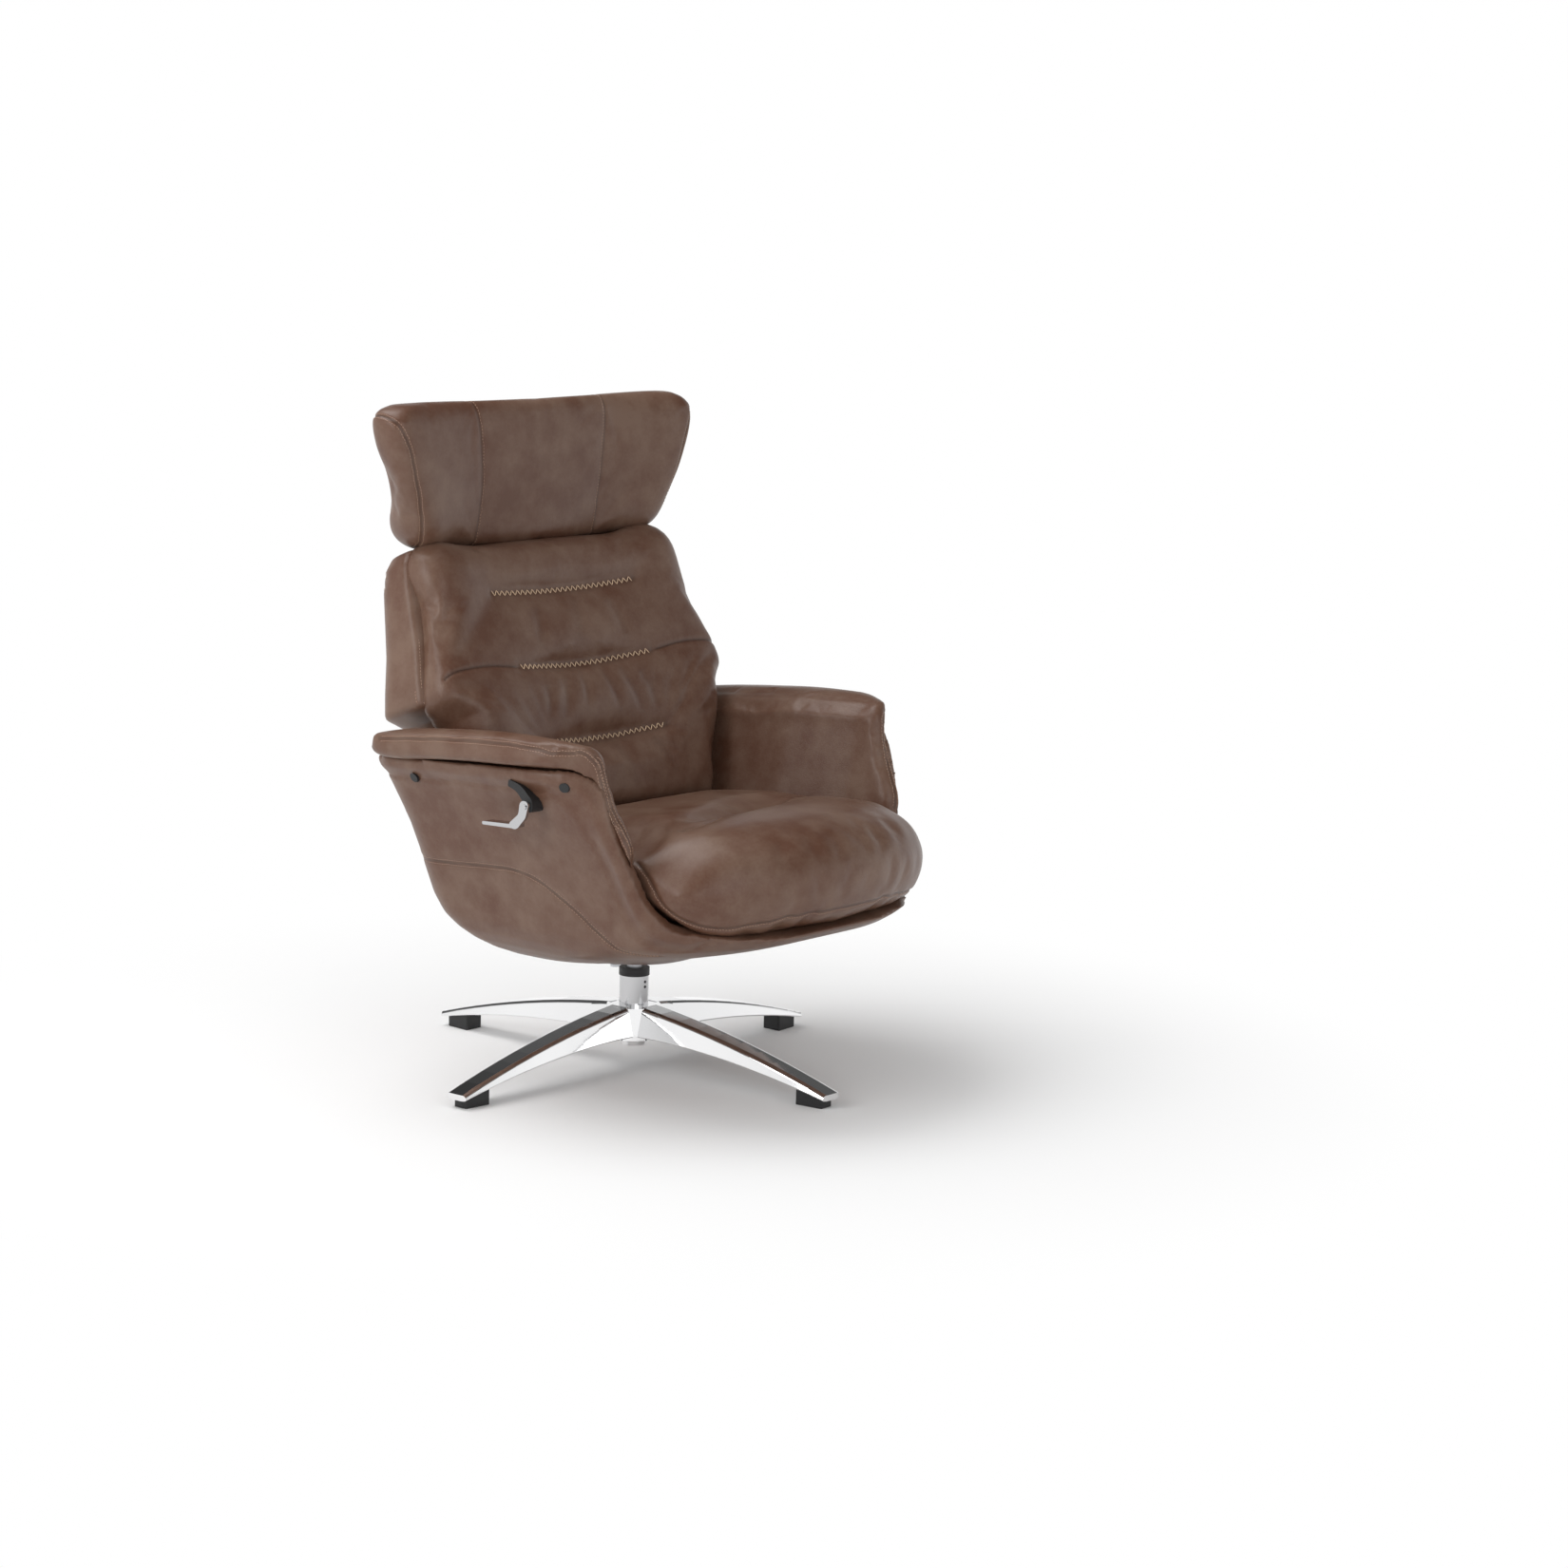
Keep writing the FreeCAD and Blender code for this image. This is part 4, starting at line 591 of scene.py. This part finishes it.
CAP_SEAM = [
    (-0.330, 0.268, 1.012), (-0.343, 0.232, 1.018), (-0.343, 0.205, 1.012), (-0.335, 0.189, 0.998),
    (-0.318, 0.181, 0.964), (-0.302, 0.184, 0.911), (-0.283, 0.197, 0.865), (-0.262, 0.218, 0.832),
    (-0.245, 0.248, 0.818),
]
PANEL_SEAM = [
    (-0.150, 0.258, 1.026), (-0.148, 0.235, 1.034), (-0.146, 0.214, 1.015), (-0.141, 0.206, 0.969),
    (-0.137, 0.206, 0.922), (-0.135, 0.212, 0.870), (-0.136, 0.222, 0.826), (-0.138, 0.245, 0.812),
]

# The lower edge hangs down to the back: where that starts, over what height, how far, and its middle
HEADREST_LOW = 0.868
HEADREST_FADE = 0.05
HEADREST_DROP = 0.011
HEADREST_MIDDLE_DROP = 0.018
HEADREST_MIDDLE_HALF = 0.095


def lower_headrest_edge(piece):
    """Draw the lower edge down to the back, and fill its corners."""
    points = get_points(piece)
    low = eased_share(np.clip((HEADREST_LOW - points[:, 2]) / HEADREST_FADE, 0, 1))
    middle = np.exp(-((points[:, 0] / HEADREST_MIDDLE_HALF) ** 4))
    points[:, 2] -= (HEADREST_DROP + HEADREST_MIDDLE_DROP * middle) * low
    set_points(piece, points)
    for side in (-1, 1):
        fill_out(piece, (0.262 * side, 0.225, 0.832), (0.055, 0.06, 0.045), 0.013)


def headrest():
    piece = cover_of("headrest_cushion", "headrest_leather", FINE_GRID, 5)
    lower_headrest_edge(piece)
    seams = [eased(line) for line in both_sides(CAP_SEAM) + both_sides(PANEL_SEAM)]
    swell(piece, seams)
    relax(piece, 2)
    refine(piece)
    skin = skin_of(piece)
    seams = [lay_on(skin, line)[0] for line in seams]
    for line in seams[:2]:
        press(piece, line, SEAM_DEPTH, SEAM_WIDTH, 0.8)
    for line in seams[2:]:
        press(piece, line, SEAM_DEPTH * 0.7, SEAM_WIDTH, 0.7)
    dress(piece, "headrest", ["headrest_cushion"])
    skin = skin_of(piece)
    made = bmesh.new()
    for line in seams[:2]:
        running_stitches(made, skin, line, (-SEAM_TO_STITCH, SEAM_TO_STITCH))
    for line, side in zip(seams[2:], (-1, 1)):
        running_stitches(made, skin, line, (side * SEAM_TO_STITCH,))
    finish_threads(made, "headrest_threads", "headrest", PALE_THREAD)


# Back

TUFT_ROWS = [(0.172, 0.143), (0.292, 0.153), (0.412, 0.164)]
FRONT_OF_TUFTS = 0.062


def on_back(x, out, up):
    return PIVOT + OUT_BACK * out + UP_BACK * up + Vector((x, 0, 0))


def tuft_line(up, half):
    """A sewn row, drawn down a little in its middle."""
    return [on_back(half * t, FRONT_OF_TUFTS, up - 0.004 * (1 - t * t)) for t in (-1, -0.5, 0, 0.5, 1)]


# The bolster's inner edge and the back's lower side corner: across, out and up the back
BOLSTER_EDGE = [(0.160, 0.072, 0.412), (0.205, 0.074, 0.360), (0.258, 0.070, 0.305)]
BACK_CORNER = [(0.312, 0.030, 0.285), (0.296, 0.045, 0.262), (0.280, 0.045, 0.235), (0.268, 0.035, 0.205)]

# The seam from the middle row to the back's side: across, and up from the row
SIDE_SEAM = [(0.155, 0.0), (0.22, 0.007), (0.28, 0.006), (0.322, 0.0)]
SIDE_SEAM_OUT = 0.075

# Where the cushion is filled out: a place and a reach (across, out and up the back), and how far
TOP_FILL = ((0, 0.030, 0.490), (0.36, 0.060, 0.035), 0.015)
SIDE_FILLS = [
    ((0.250, 0.030, 0.470), (0.06, 0.08, 0.06), 0.016),
    ((0.285, 0.030, 0.225), (0.05, 0.07, 0.045), 0.017),
    ((0.265, 0.030, 0.165), (0.05, 0.07, 0.050), 0.007),
    ((0.235, 0.065, 0.235), (0.06, 0.06, 0.050), 0.010),
]

# Creases between the rows: across at both ends, up the back at both ends, depth and width
BACK_CREASES = [
    (-0.060, -0.085, 0.270, 0.200, 0.0035, 0.012),
    (-0.015, -0.030, 0.280, 0.215, 0.0028, 0.010),
    (0.030, 0.045, 0.280, 0.205, 0.0035, 0.011),
    (0.070, 0.098, 0.275, 0.195, 0.0040, 0.012),
    (0.112, 0.135, 0.262, 0.200, 0.0030, 0.010),
    (-0.105, -0.120, 0.262, 0.205, 0.0026, 0.010),
    (-0.080, -0.095, 0.385, 0.325, 0.0024, 0.014),
    (0.010, 0.000, 0.392, 0.330, 0.0016, 0.016),
    (0.085, 0.105, 0.385, 0.322, 0.0024, 0.014),
    (0.020, 0.035, 0.160, 0.095, 0.0022, 0.014),
    (-0.070, -0.090, 0.155, 0.100, 0.0020, 0.013),
    (0.105, 0.130, 0.155, 0.100, 0.0024, 0.013),
]


def fill_back(piece):
    """Fill out the cushion's top, and its corners on both sides."""
    place, reach, amount = TOP_FILL
    fill_out(piece, on_back(*place), reach, amount)
    for side in (-1, 1):
        for (across, out, up), reach, amount in SIDE_FILLS:
            fill_out(piece, on_back(across * side, out, up), reach, amount)


def side_seam(side):
    middle_up = TUFT_ROWS[1][0]
    return eased([on_back(side * across, SIDE_SEAM_OUT, middle_up + rise) for across, rise in SIDE_SEAM])


def press_back_creases(piece, skin):
    for x_low, x_high, up_high, up_low, depth, width in BACK_CREASES:
        bend = ((x_low + x_high) / 2 + 0.004, (up_low + up_high) / 2)
        bent = [(x_low, up_high), bend, (x_high, up_low)]
        crease_with_painted_shade, _ = lay_on(skin, eased([on_back(x, 0.08, up) for x, up in bent]))
        press(piece, crease_with_painted_shade, depth, width, 0.12, taper=True)


def back_cushion():
    piece = cover_of("back_cushion", "back_cushion_leather", FINE_GRID, 5)
    fill_back(piece)
    rows = [eased(tuft_line(*row)) for row in TUFT_ROWS]
    side_seams = [side_seam(side) for side in (-1, 1)]
    soften(piece, rows, 0.045, 50)
    rows = [lay_on(skin_of(piece), line)[0] for line in rows]
    swell(piece, rows + side_seams, pressure=4.5, limit=0.009, held_width=0.009)
    bolster_lines = both_sides(BACK_CORNER) + both_sides(BOLSTER_EDGE)
    soften(piece, [eased([on_back(*place) for place in line]) for line in bolster_lines], 0.032, 40)
    refine(piece)
    skin = skin_of(piece)
    rows = [lay_on(skin, line)[0] for line in rows]
    side_seams = [lay_on(skin, line)[0] for line in side_seams]
    for line in rows:
        press(piece, line, 0.003, 0.010, 0.45)
    for line in side_seams:
        press(piece, line, SEAM_DEPTH, SEAM_WIDTH, 1.0)
    press_back_creases(piece, skin)
    dress(piece, "back", ["back_cushion"])
    skin = skin_of(piece)
    made = bmesh.new()
    for line in rows:
        zigzag_stitches(made, skin, line)
    finish_threads(made, "back_zigzag_threads", "back", TAN_THREAD)


# The back's rear cover: up the back, half width, depth behind the pivot's plane
COVER_ROWS = [
    (-0.010, 0.230, 0.058), (0.060, 0.238, 0.069), (0.140, 0.256, 0.078), (0.200, 0.270, 0.079),
    (0.242, 0.286, 0.078), (0.264, 0.326, 0.077), (0.300, 0.320, 0.070), (0.353, 0.306, 0.062),
    (0.407, 0.298, 0.054), (0.450, 0.291, 0.048), (0.480, 0.283, 0.041), (0.496, 0.272, 0.034),
]
COVER_SEAM = -0.021
COVER_CORNER = 0.034
COVER_SKIN = 0.004

# The front edges turn in towards the cushion by the lip, and lean forward by a share of it
COVER_LIP = 0.028
LIP_LEAN = 0.3

# The sheet's rows below this share go up the back and the others close its top, which has a highest place
COVER_TOP_SHARE = 0.9
COVER_HIGHEST = 0.497
COVER_CLOSING_TAPER = 0.08


def rounded_run(half, rear, share):
    """A place on the cover's section, from the left seam round the rear to the right one."""
    corner = COVER_CORNER
    side = max(rear - COVER_SEAM - corner, 0.001)
    quarter = corner * pi / 2
    flat = 2 * (half - corner)
    along = share * (2 * COVER_LIP + 2 * side + 2 * quarter + flat) - COVER_LIP
    if along < 0:
        return -half - along, COVER_SEAM + along * LIP_LEAN
    if along < side:
        return -half, COVER_SEAM + along
    if along < side + quarter:
        angle = (along - side) / corner
        return -half + corner - corner * cos(angle), rear - corner + corner * sin(angle)
    if along < side + quarter + flat:
        return -half + corner + along - side - quarter, rear
    x, y = rounded_run(half, rear, 1 - share)
    return -x, y


def cover_place(share, rise, rows):
    """A place on the cover: share runs round its section, rise goes up the back and over the top."""
    place = min(rise / COVER_TOP_SHARE, 1)
    up, half, rear = (np.interp(place, np.linspace(0, 1, len(rows)), rows[:, k]) for k in range(3))
    closing = max(0.0, (rise - COVER_TOP_SHARE) / (1 - COVER_TOP_SHARE))
    x, depth = rounded_run(half, rear, share)
    depth += (COVER_SEAM - depth) * closing
    x *= 1 - COVER_CLOSING_TAPER * closing
    up += 0.006 * closing * (2 - closing) - 0.012 * (1 - closing) * max(0.0, rise - 0.8)
    up -= 0.030 * max(0.0, closing - 0.5) ** 2 / 0.25
    return on_back(x, -depth, min(up, COVER_HIGHEST))


def cover_shell():
    """A thin shell from seam to seam round the rear, closed over the top."""
    sheet = bmesh.new()
    bmesh.ops.create_grid(sheet, x_segments=150, y_segments=130, size=0.5)
    rows = np.array(COVER_ROWS)
    for vertex in sheet.verts:
        vertex.co = cover_place(vertex.co.x + 0.5, vertex.co.y + 0.5, rows)
    mesh = bpy.data.meshes.new("back_cover_leather")
    bmesh.ops.recalc_face_normals(sheet, faces=sheet.faces)
    sheet.to_mesh(mesh)
    sheet.free()
    piece = relax(add_piece("back_cover_leather", mesh), 4)
    wall = piece.modifiers.new("wall", "SOLIDIFY")
    wall.thickness = COVER_SKIN
    wall.offset = -1
    return apply_modifiers(piece)


def back_cover():
    piece = cover_shell()
    seams = []
    for side in (-1, 1):
        edge = [on_back(side * (half - 0.001), -COVER_SEAM - 0.002, up) for up, half, rear in COVER_ROWS[1:]]
        seams.append(eased(edge))
    rear_seam = [on_back(0.02 - half, 0.006 - rear, up) for up, half, rear in COVER_ROWS[:-1]]
    rear_seam += [Vector((-p.x, p.y, p.z)) for p in reversed(rear_seam)]
    dress(piece, "back", ["back_cover"])
    skin = skin_of(piece)
    rear_line = lay_on(skin, eased(rear_seam))[0]
    press(piece, rear_line, 0.0016, SEAM_WIDTH, 0.8)
    made = bmesh.new()
    for line, side in zip(seams, (-1, 1)):
        running_stitches(made, skin, line, (side * 0.005,))
    running_stitches(made, skin, rear_line, (SEAM_TO_STITCH,))
    finish_threads(made, "back_cover_threads", "back", PALE_THREAD)


# Arms

PAD_SEAM = [
    (-0.392, 0.176, 0.538), (-0.393, 0.111, 0.546), (-0.394, 0.046, 0.553), (-0.394, -0.066, 0.560),
    (-0.394, -0.140, 0.560), (-0.394, -0.195, 0.558), (-0.393, -0.237, 0.551), (-0.385, -0.264, 0.533),
    (-0.372, -0.276, 0.499), (-0.358, -0.281, 0.466), (-0.343, -0.286, 0.431), (-0.335, -0.287, 0.408),
    (-0.322, -0.284, 0.394),
]
ARM_FRONT_SEAM = [
    (-0.352, -0.250, 0.566), (-0.336, -0.262, 0.552), (-0.328, -0.268, 0.530), (-0.324, -0.272, 0.500),
    (-0.316, -0.276, 0.464), (-0.308, -0.282, 0.430), (-0.303, -0.284, 0.405),
]

# The arm's rounded front end: how far its nose and corners go back, where that starts, over what length
ARM_NOSE_BACK = 0.005
ARM_END_ROUND = 0.030
ARM_END_START = -0.135
ARM_END_LENGTH = 0.10
ARM_HALF = 0.048


def round_arm_end(piece, mirror):
    """Round the arm's front end as seen from above, with its nose midway through the arm."""
    points = get_points(piece)
    out = -points[:, 0] * mirror
    forward = np.clip((ARM_END_START - points[:, 1]) / ARM_END_LENGTH, 0, 1)
    middle = 0.351 - 0.10 * np.clip(0.53 - points[:, 2], 0, 0.2)
    across = np.clip(np.abs(out - middle) / ARM_HALF, 0, 1)
    arc = 1 - np.sqrt(1 - 0.96 * across ** 2)
    points[:, 1] += forward ** 1.5 * (ARM_NOSE_BACK + ARM_END_ROUND * arc)
    set_points(piece, points)
    return relax(piece, 3)


def arm(side_name, mirror):
    piece = cover_of(f"arm_pad_{side_name}", f"arm_{side_name}_leather", FINE_GRID, 4)
    round_arm_end(piece, mirror)
    lines = [[(x * mirror, y, z) for x, y, z in line] for line in (PAD_SEAM, ARM_FRONT_SEAM)]
    seams = [eased(line) for line in lines]
    swell(piece, seams, limit=0.005, held_width=0.009)
    soften(piece, seams, 0.018, 12)
    pad_seam, front_seam = seams
    lower_front = [front_seam[len(front_seam) // 3:], pad_seam[-len(pad_seam) // 4:]]
    soften(piece, lower_front, 0.030, 35)
    fill_out(piece, (-0.36 * mirror, 0.165, 0.520), (0.07, 0.09, 0.022), 0.007)
    refine(piece)
    skin = skin_of(piece)
    seams = [lay_on(skin, line)[0] for line in seams]
    for line in seams:
        press(piece, line, SEAM_DEPTH * 0.7, SEAM_WIDTH, 0.6)
    dress(piece, "tub", [f"arm_pad_{side_name}"])
    skin = skin_of(piece)
    made = bmesh.new()
    for line in seams:
        running_stitches(made, skin, line, (-SEAM_TO_STITCH, SEAM_TO_STITCH))
    finish_threads(made, f"arm_{side_name}_threads", "tub", PALE_THREAD)


# Tub

TUB_SEAM = [
    (-0.300, 0.172, 0.346), (-0.312, 0.140, 0.347), (-0.315, 0.092, 0.349), (-0.316, 0.014, 0.355),
    (-0.317, -0.037, 0.356), (-0.314, -0.080, 0.347), (-0.308, -0.125, 0.323), (-0.303, -0.158, 0.303),
    (-0.299, -0.180, 0.286), (-0.292, -0.206, 0.270), (-0.280, -0.240, 0.252), (-0.255, -0.275, 0.234),
]
RIM_LINE = [
    (-0.372, 0.196, 0.506), (-0.375, 0.104, 0.512), (-0.384, -0.026, 0.519), (-0.386, -0.138, 0.525),
    (-0.385, -0.205, 0.527), (-0.380, -0.232, 0.520), (-0.372, -0.246, 0.500), (-0.358, -0.252, 0.466),
    (-0.341, -0.258, 0.428), (-0.328, -0.263, 0.394), (-0.315, -0.275, 0.350), (-0.298, -0.305, 0.310),
    (-0.270, -0.350, 0.290),
]
TUB_LIP = [
    (-0.305, -0.290, 0.325), (-0.290, -0.318, 0.302), (-0.268, -0.350, 0.288), (-0.235, -0.382, 0.282),
]

# The lip's corners (without their signs) are drawn in and back
TUB_TIP = np.array([0.272, 0.345, 0.288])
TIP_REACH = 0.045
TIP_IN = 0.012
TIP_BACK = 0.008

# The belly is lifted, from the post's hole outwards over a reach, and below a top over a fade
BELLY_LIFT = 0.017
BELLY_HOLE = 0.045
BELLY_REACH = 0.125
BELLY_TOP = 0.275
BELLY_FADE = 0.10

# A roll and a dip along the rim: height, distance from the rim's line and width
RIM_ROLL = (0.003, 0.012, 0.009)
RIM_DIP = (0.002, 0.036, 0.010)


def shape_tub(piece):
    """Lift the belly, draw in the lip's corners and soften the lip."""
    points = get_points(piece)
    from_axis = np.clip((np.hypot(points[:, 0], points[:, 1]) - BELLY_HOLE) / BELLY_REACH, 0, 1)
    low = np.clip((BELLY_TOP - points[:, 2]) / BELLY_FADE, 0, 1)
    points[:, 2] += BELLY_LIFT * eased_share(from_axis) * eased_share(low)
    in_reach = np.exp(-np.sum(((np.abs(points) - TUB_TIP) / TIP_REACH) ** 2, axis=1))
    tip = in_reach * (points[:, 1] < 0)
    points[:, 0] -= np.sign(points[:, 0]) * TIP_IN * tip
    points[:, 1] += TIP_BACK * tip
    set_points(piece, points)
    soften(piece, [eased(line) for line in both_sides(TUB_LIP)], 0.022, 30)


def wave_at(distance, height, middle, width):
    return height * np.exp(-(((distance - middle) / width) ** 2))


def roll_rim(piece):
    """A soft roll under the rim, and a shallow dip below it."""
    skin = skin_of(piece)
    points = get_points(piece)
    outward = get_normals(piece)
    for line in both_sides(RIM_LINE):
        rim = lay_on(skin, eased(line))[0]
        distance, _ = nearness(points, rim)
        sideways_out = outward[:, 0] * np.sign(line[0][0]) > 0.2
        roll = wave_at(distance, *RIM_ROLL) - wave_at(distance, *RIM_DIP)
        points = points + outward * (roll * sideways_out)[:, None]
    set_points(piece, points)


def tub():
    piece = cover_of("tub_shell", "tub_leather", TUB_GRID, 6)
    shape_tub(piece)
    roll_rim(piece)
    skin = skin_of(piece)
    seams = [lay_on(skin, eased(line))[0] for line in both_sides(TUB_SEAM)]
    for line in seams:
        press(piece, line, 0.0014, 0.0045, 0.75)
    dress(piece, "tub", ["tub_shell"])
    skin = skin_of(piece)
    made = bmesh.new()
    for line in seams:
        running_stitches(made, skin, line, (-SEAM_TO_STITCH, SEAM_TO_STITCH))
    finish_threads(made, "tub_threads", "tub", PALE_THREAD)


# Seat

CROSS_SEAM = [
    (-0.200, -0.262, 0.430), (-0.140, -0.262, 0.425), (-0.080, -0.246, 0.422), (-0.010, -0.222, 0.421),
    (0.060, -0.202, 0.422), (0.130, -0.190, 0.425), (0.200, -0.170, 0.430),
]
GUSSET_SEAM = [
    (-0.278, -0.238, 0.396), (-0.283, -0.268, 0.376), (-0.282, -0.300, 0.340), (-0.268, -0.330, 0.312),
    (-0.235, -0.365, 0.300), (-0.180, -0.400, 0.303), (-0.100, -0.425, 0.309), (0, -0.432, 0.312),
]

# Where the cushion is filled out to meet the tub: a place, a reach and how far
FRONT_FILL = ((0, -0.42, 0.292), (0.24, 0.05, 0.03), 0.006)
CORNER_FILLS = [
    ((0.25, -0.36, 0.36), (0.12, 0.12, 0.08), 0.007),
    ((0.235, -0.355, 0.305), (0.11, 0.10, 0.04), 0.011),
]


def seat():
    piece = cover_of("seat_cushion", "seat_leather", FINE_GRID, 6)
    around = GUSSET_SEAM + [(-x, y, z) for x, y, z in reversed(GUSSET_SEAM[:-1])]
    seams = [eased(around), eased(CROSS_SEAM)]
    swell(piece, seams, pressure=4.0, limit=0.009, held_width=0.010)
    relax(piece, 8)
    fill_out(piece, *FRONT_FILL)
    for side in (-1, 1):
        for (x, y, z), reach, amount in CORNER_FILLS:
            fill_out(piece, (x * side, y, z), reach, amount)
    refine(piece)
    skin = skin_of(piece)
    seams = [lay_on(skin, line)[0] for line in seams]
    press(piece, seams[0], SEAM_DEPTH, SEAM_WIDTH, 0.9)
    press(piece, seams[1], 0.002, 0.005, 0.5)
    dress(piece, "seat", ["seat_cushion"])
    skin = skin_of(piece)
    made = bmesh.new()
    running_stitches(made, skin, seams[0], (SEAM_TO_STITCH,))
    running_stitches(made, skin, seams[1], (SEAM_TO_STITCH,))
    finish_threads(made, "seat_threads", "seat", PALE_THREAD)


headrest()
back_cushion()
back_cover()
arm("right", 1)
arm("left", -1)
tub()
seat()


# Camera, floor and light

PHOTO_WIDTH_PX = 1650
FOCAL_LENGTH_PX = 4080


def studio_camera():
    """A camera where the photograph was taken from."""
    data = bpy.data.cameras.new("camera")
    data.sensor_width = 36
    data.lens = FOCAL_LENGTH_PX / PHOTO_WIDTH_PX * data.sensor_width
    data.clip_end = 100
    camera = bpy.data.objects.new("camera", data)
    scene.collection.objects.link(camera)
    right = Vector((0.63157647, -0.77488778, 0.02569202))
    up = Vector((0.11151366, 0.12358303, 0.98604865))
    back = Vector((-0.76725215, -0.61990012, 0.16446271))
    turn = Matrix((right, up, back)).transposed().to_4x4()
    camera.matrix_world = Matrix.Translation((-4.47079, -3.90316, 1.44107)) @ turn
    scene.camera = camera


def soft_light(name, place, size, power):
    data = bpy.data.lights.new(name, "AREA")
    data.shape = "SQUARE"
    data.size = size
    data.energy = power
    lamp = bpy.data.objects.new(name, data)
    lamp.location = place
    lamp.rotation_mode = "QUATERNION"
    lamp.rotation_quaternion = (Vector((0, 0, 0.5)) - Vector(place)).to_track_quat("-Z", "Y")
    scene.collection.objects.link(lamp)


# The floor's look fades into white between these distances from the column
FLOOR_FADE_FROM = 0.35
FLOOR_FADE_TO = 1.3


def pale_floor():
    """A pale floor that keeps the shadow near the chair and fades into the white room round it."""
    mesh = bpy.data.meshes.new("floor")
    made = bmesh.new()
    bmesh.ops.create_grid(made, x_segments=1, y_segments=1, size=30)
    made.to_mesh(mesh)
    made.free()
    floor = add_piece("floor", mesh)
    material, tree, shader, place = new_material("pale_floor")
    shader.inputs["Base Color"].default_value = (0.9, 0.9, 0.9, 1)
    shader.inputs["Roughness"].default_value = 0.9
    away = add_node(tree, "ShaderNodeVectorMath", {0: place}, operation="LENGTH")
    reach = {"Value": away.outputs["Value"], "From Min": FLOOR_FADE_FROM, "From Max": FLOOR_FADE_TO}
    fade = add_node(tree, "ShaderNodeMapRange", reach, interpolation_type="SMOOTHSTEP")
    path = tree.nodes.new("ShaderNodeLightPath")
    seen = calculate(tree, "MAXIMUM", path.outputs["Is Camera Ray"], path.outputs["Is Glossy Ray"])
    share = calculate(tree, "MULTIPLY", fade.outputs[0], seen)
    white = add_node(tree, "ShaderNodeEmission", {"Color": (1, 1, 1, 1), "Strength": 1.0})
    mixed = mix_shaders(tree, share, shader.outputs[0], white.outputs[0])
    tree.links.new(mixed, tree.nodes["Material Output"].inputs["Surface"])
    mesh.materials.append(material)


# What metal mirrors, from level (0) to straight up (1): bright walls and a dark ceiling, paler overhead
MIRRORED_HEIGHTS = ((0.0, 0.85), (0.12, 1.0), (0.30, 0.85), (0.42, 0.10), (0.85, 0.06), (1.0, 0.6))

# Two dark upright stripes in that, from -X (0) to +X (1)
MIRRORED_STRIPES = (
    (0.0, 1.0), (0.03, 0.25), (0.06, 1.0), (0.66, 1.0), (0.70, 0.18), (0.78, 1.0), (1.0, 1.0),
)


def gray_ramp(tree, factor, stops):
    """A colour ramp of grays through places from 0 to 1 and their values."""
    ramp = add_node(tree, "ShaderNodeValToRGB", {"Fac": factor})
    elements = ramp.color_ramp.elements
    elements[0].position, first = stops[0]
    elements[0].color = (first, first, first, 1)
    elements[1].position, last = stops[-1]
    elements[1].color = (last, last, last, 1)
    for position, value in stops[1:-1]:
        elements.new(position).color = (value, value, value, 1)
    return ramp


def white_room():
    """Soft light from all round. The camera sees white, and metal mirrors walls, ceiling and stripes."""
    world = bpy.data.worlds.new("room")
    scene.world = world
    world.use_nodes = True
    tree = world.node_tree
    tree.nodes.clear()
    path = tree.nodes.new("ShaderNodeLightPath")
    way = tree.nodes.new("ShaderNodeTexCoord").outputs["Generated"]
    parts = add_node(tree, "ShaderNodeSeparateXYZ", {0: way})
    across = add_node(tree, "ShaderNodeMapRange", {"Value": parts.outputs["X"], "From Min": -1.0}).outputs[0]
    stripes = gray_ramp(tree, across, MIRRORED_STRIPES)
    wall = gray_ramp(tree, parts.outputs["Z"], MIRRORED_HEIGHTS)
    both = {0: wall.outputs["Color"], 1: stripes.outputs["Color"]}
    seen = add_node(tree, "ShaderNodeVectorMath", both, operation="MULTIPLY")
    soft = add_node(tree, "ShaderNodeBackground", {"Color": (1, 1, 1, 1), "Strength": 0.57})
    mirrored = add_node(tree, "ShaderNodeBackground", {"Color": seen.outputs[0], "Strength": 1.0})
    white = add_node(tree, "ShaderNodeBackground", {"Color": (1, 1, 1, 1), "Strength": 1.0})
    glossy = mix_shaders(tree, path.outputs["Is Glossy Ray"], soft.outputs[0], mirrored.outputs[0])
    mixed = mix_shaders(tree, path.outputs["Is Camera Ray"], glossy, white.outputs[0])
    output = tree.nodes.new("ShaderNodeOutputWorld")
    tree.links.new(mixed, output.inputs["Surface"])


studio_camera()
pale_floor()
white_room()
soft_light("overhead", (-0.6, 1.2, 3.2), 2.2, 55)
soft_light("left_side", (-3.2, 0.6, 2.0), 1.8, 38)
soft_light("front", (-1.5, -3.4, 1.8), 2.4, 22)
scene.view_settings.view_transform = "Standard"
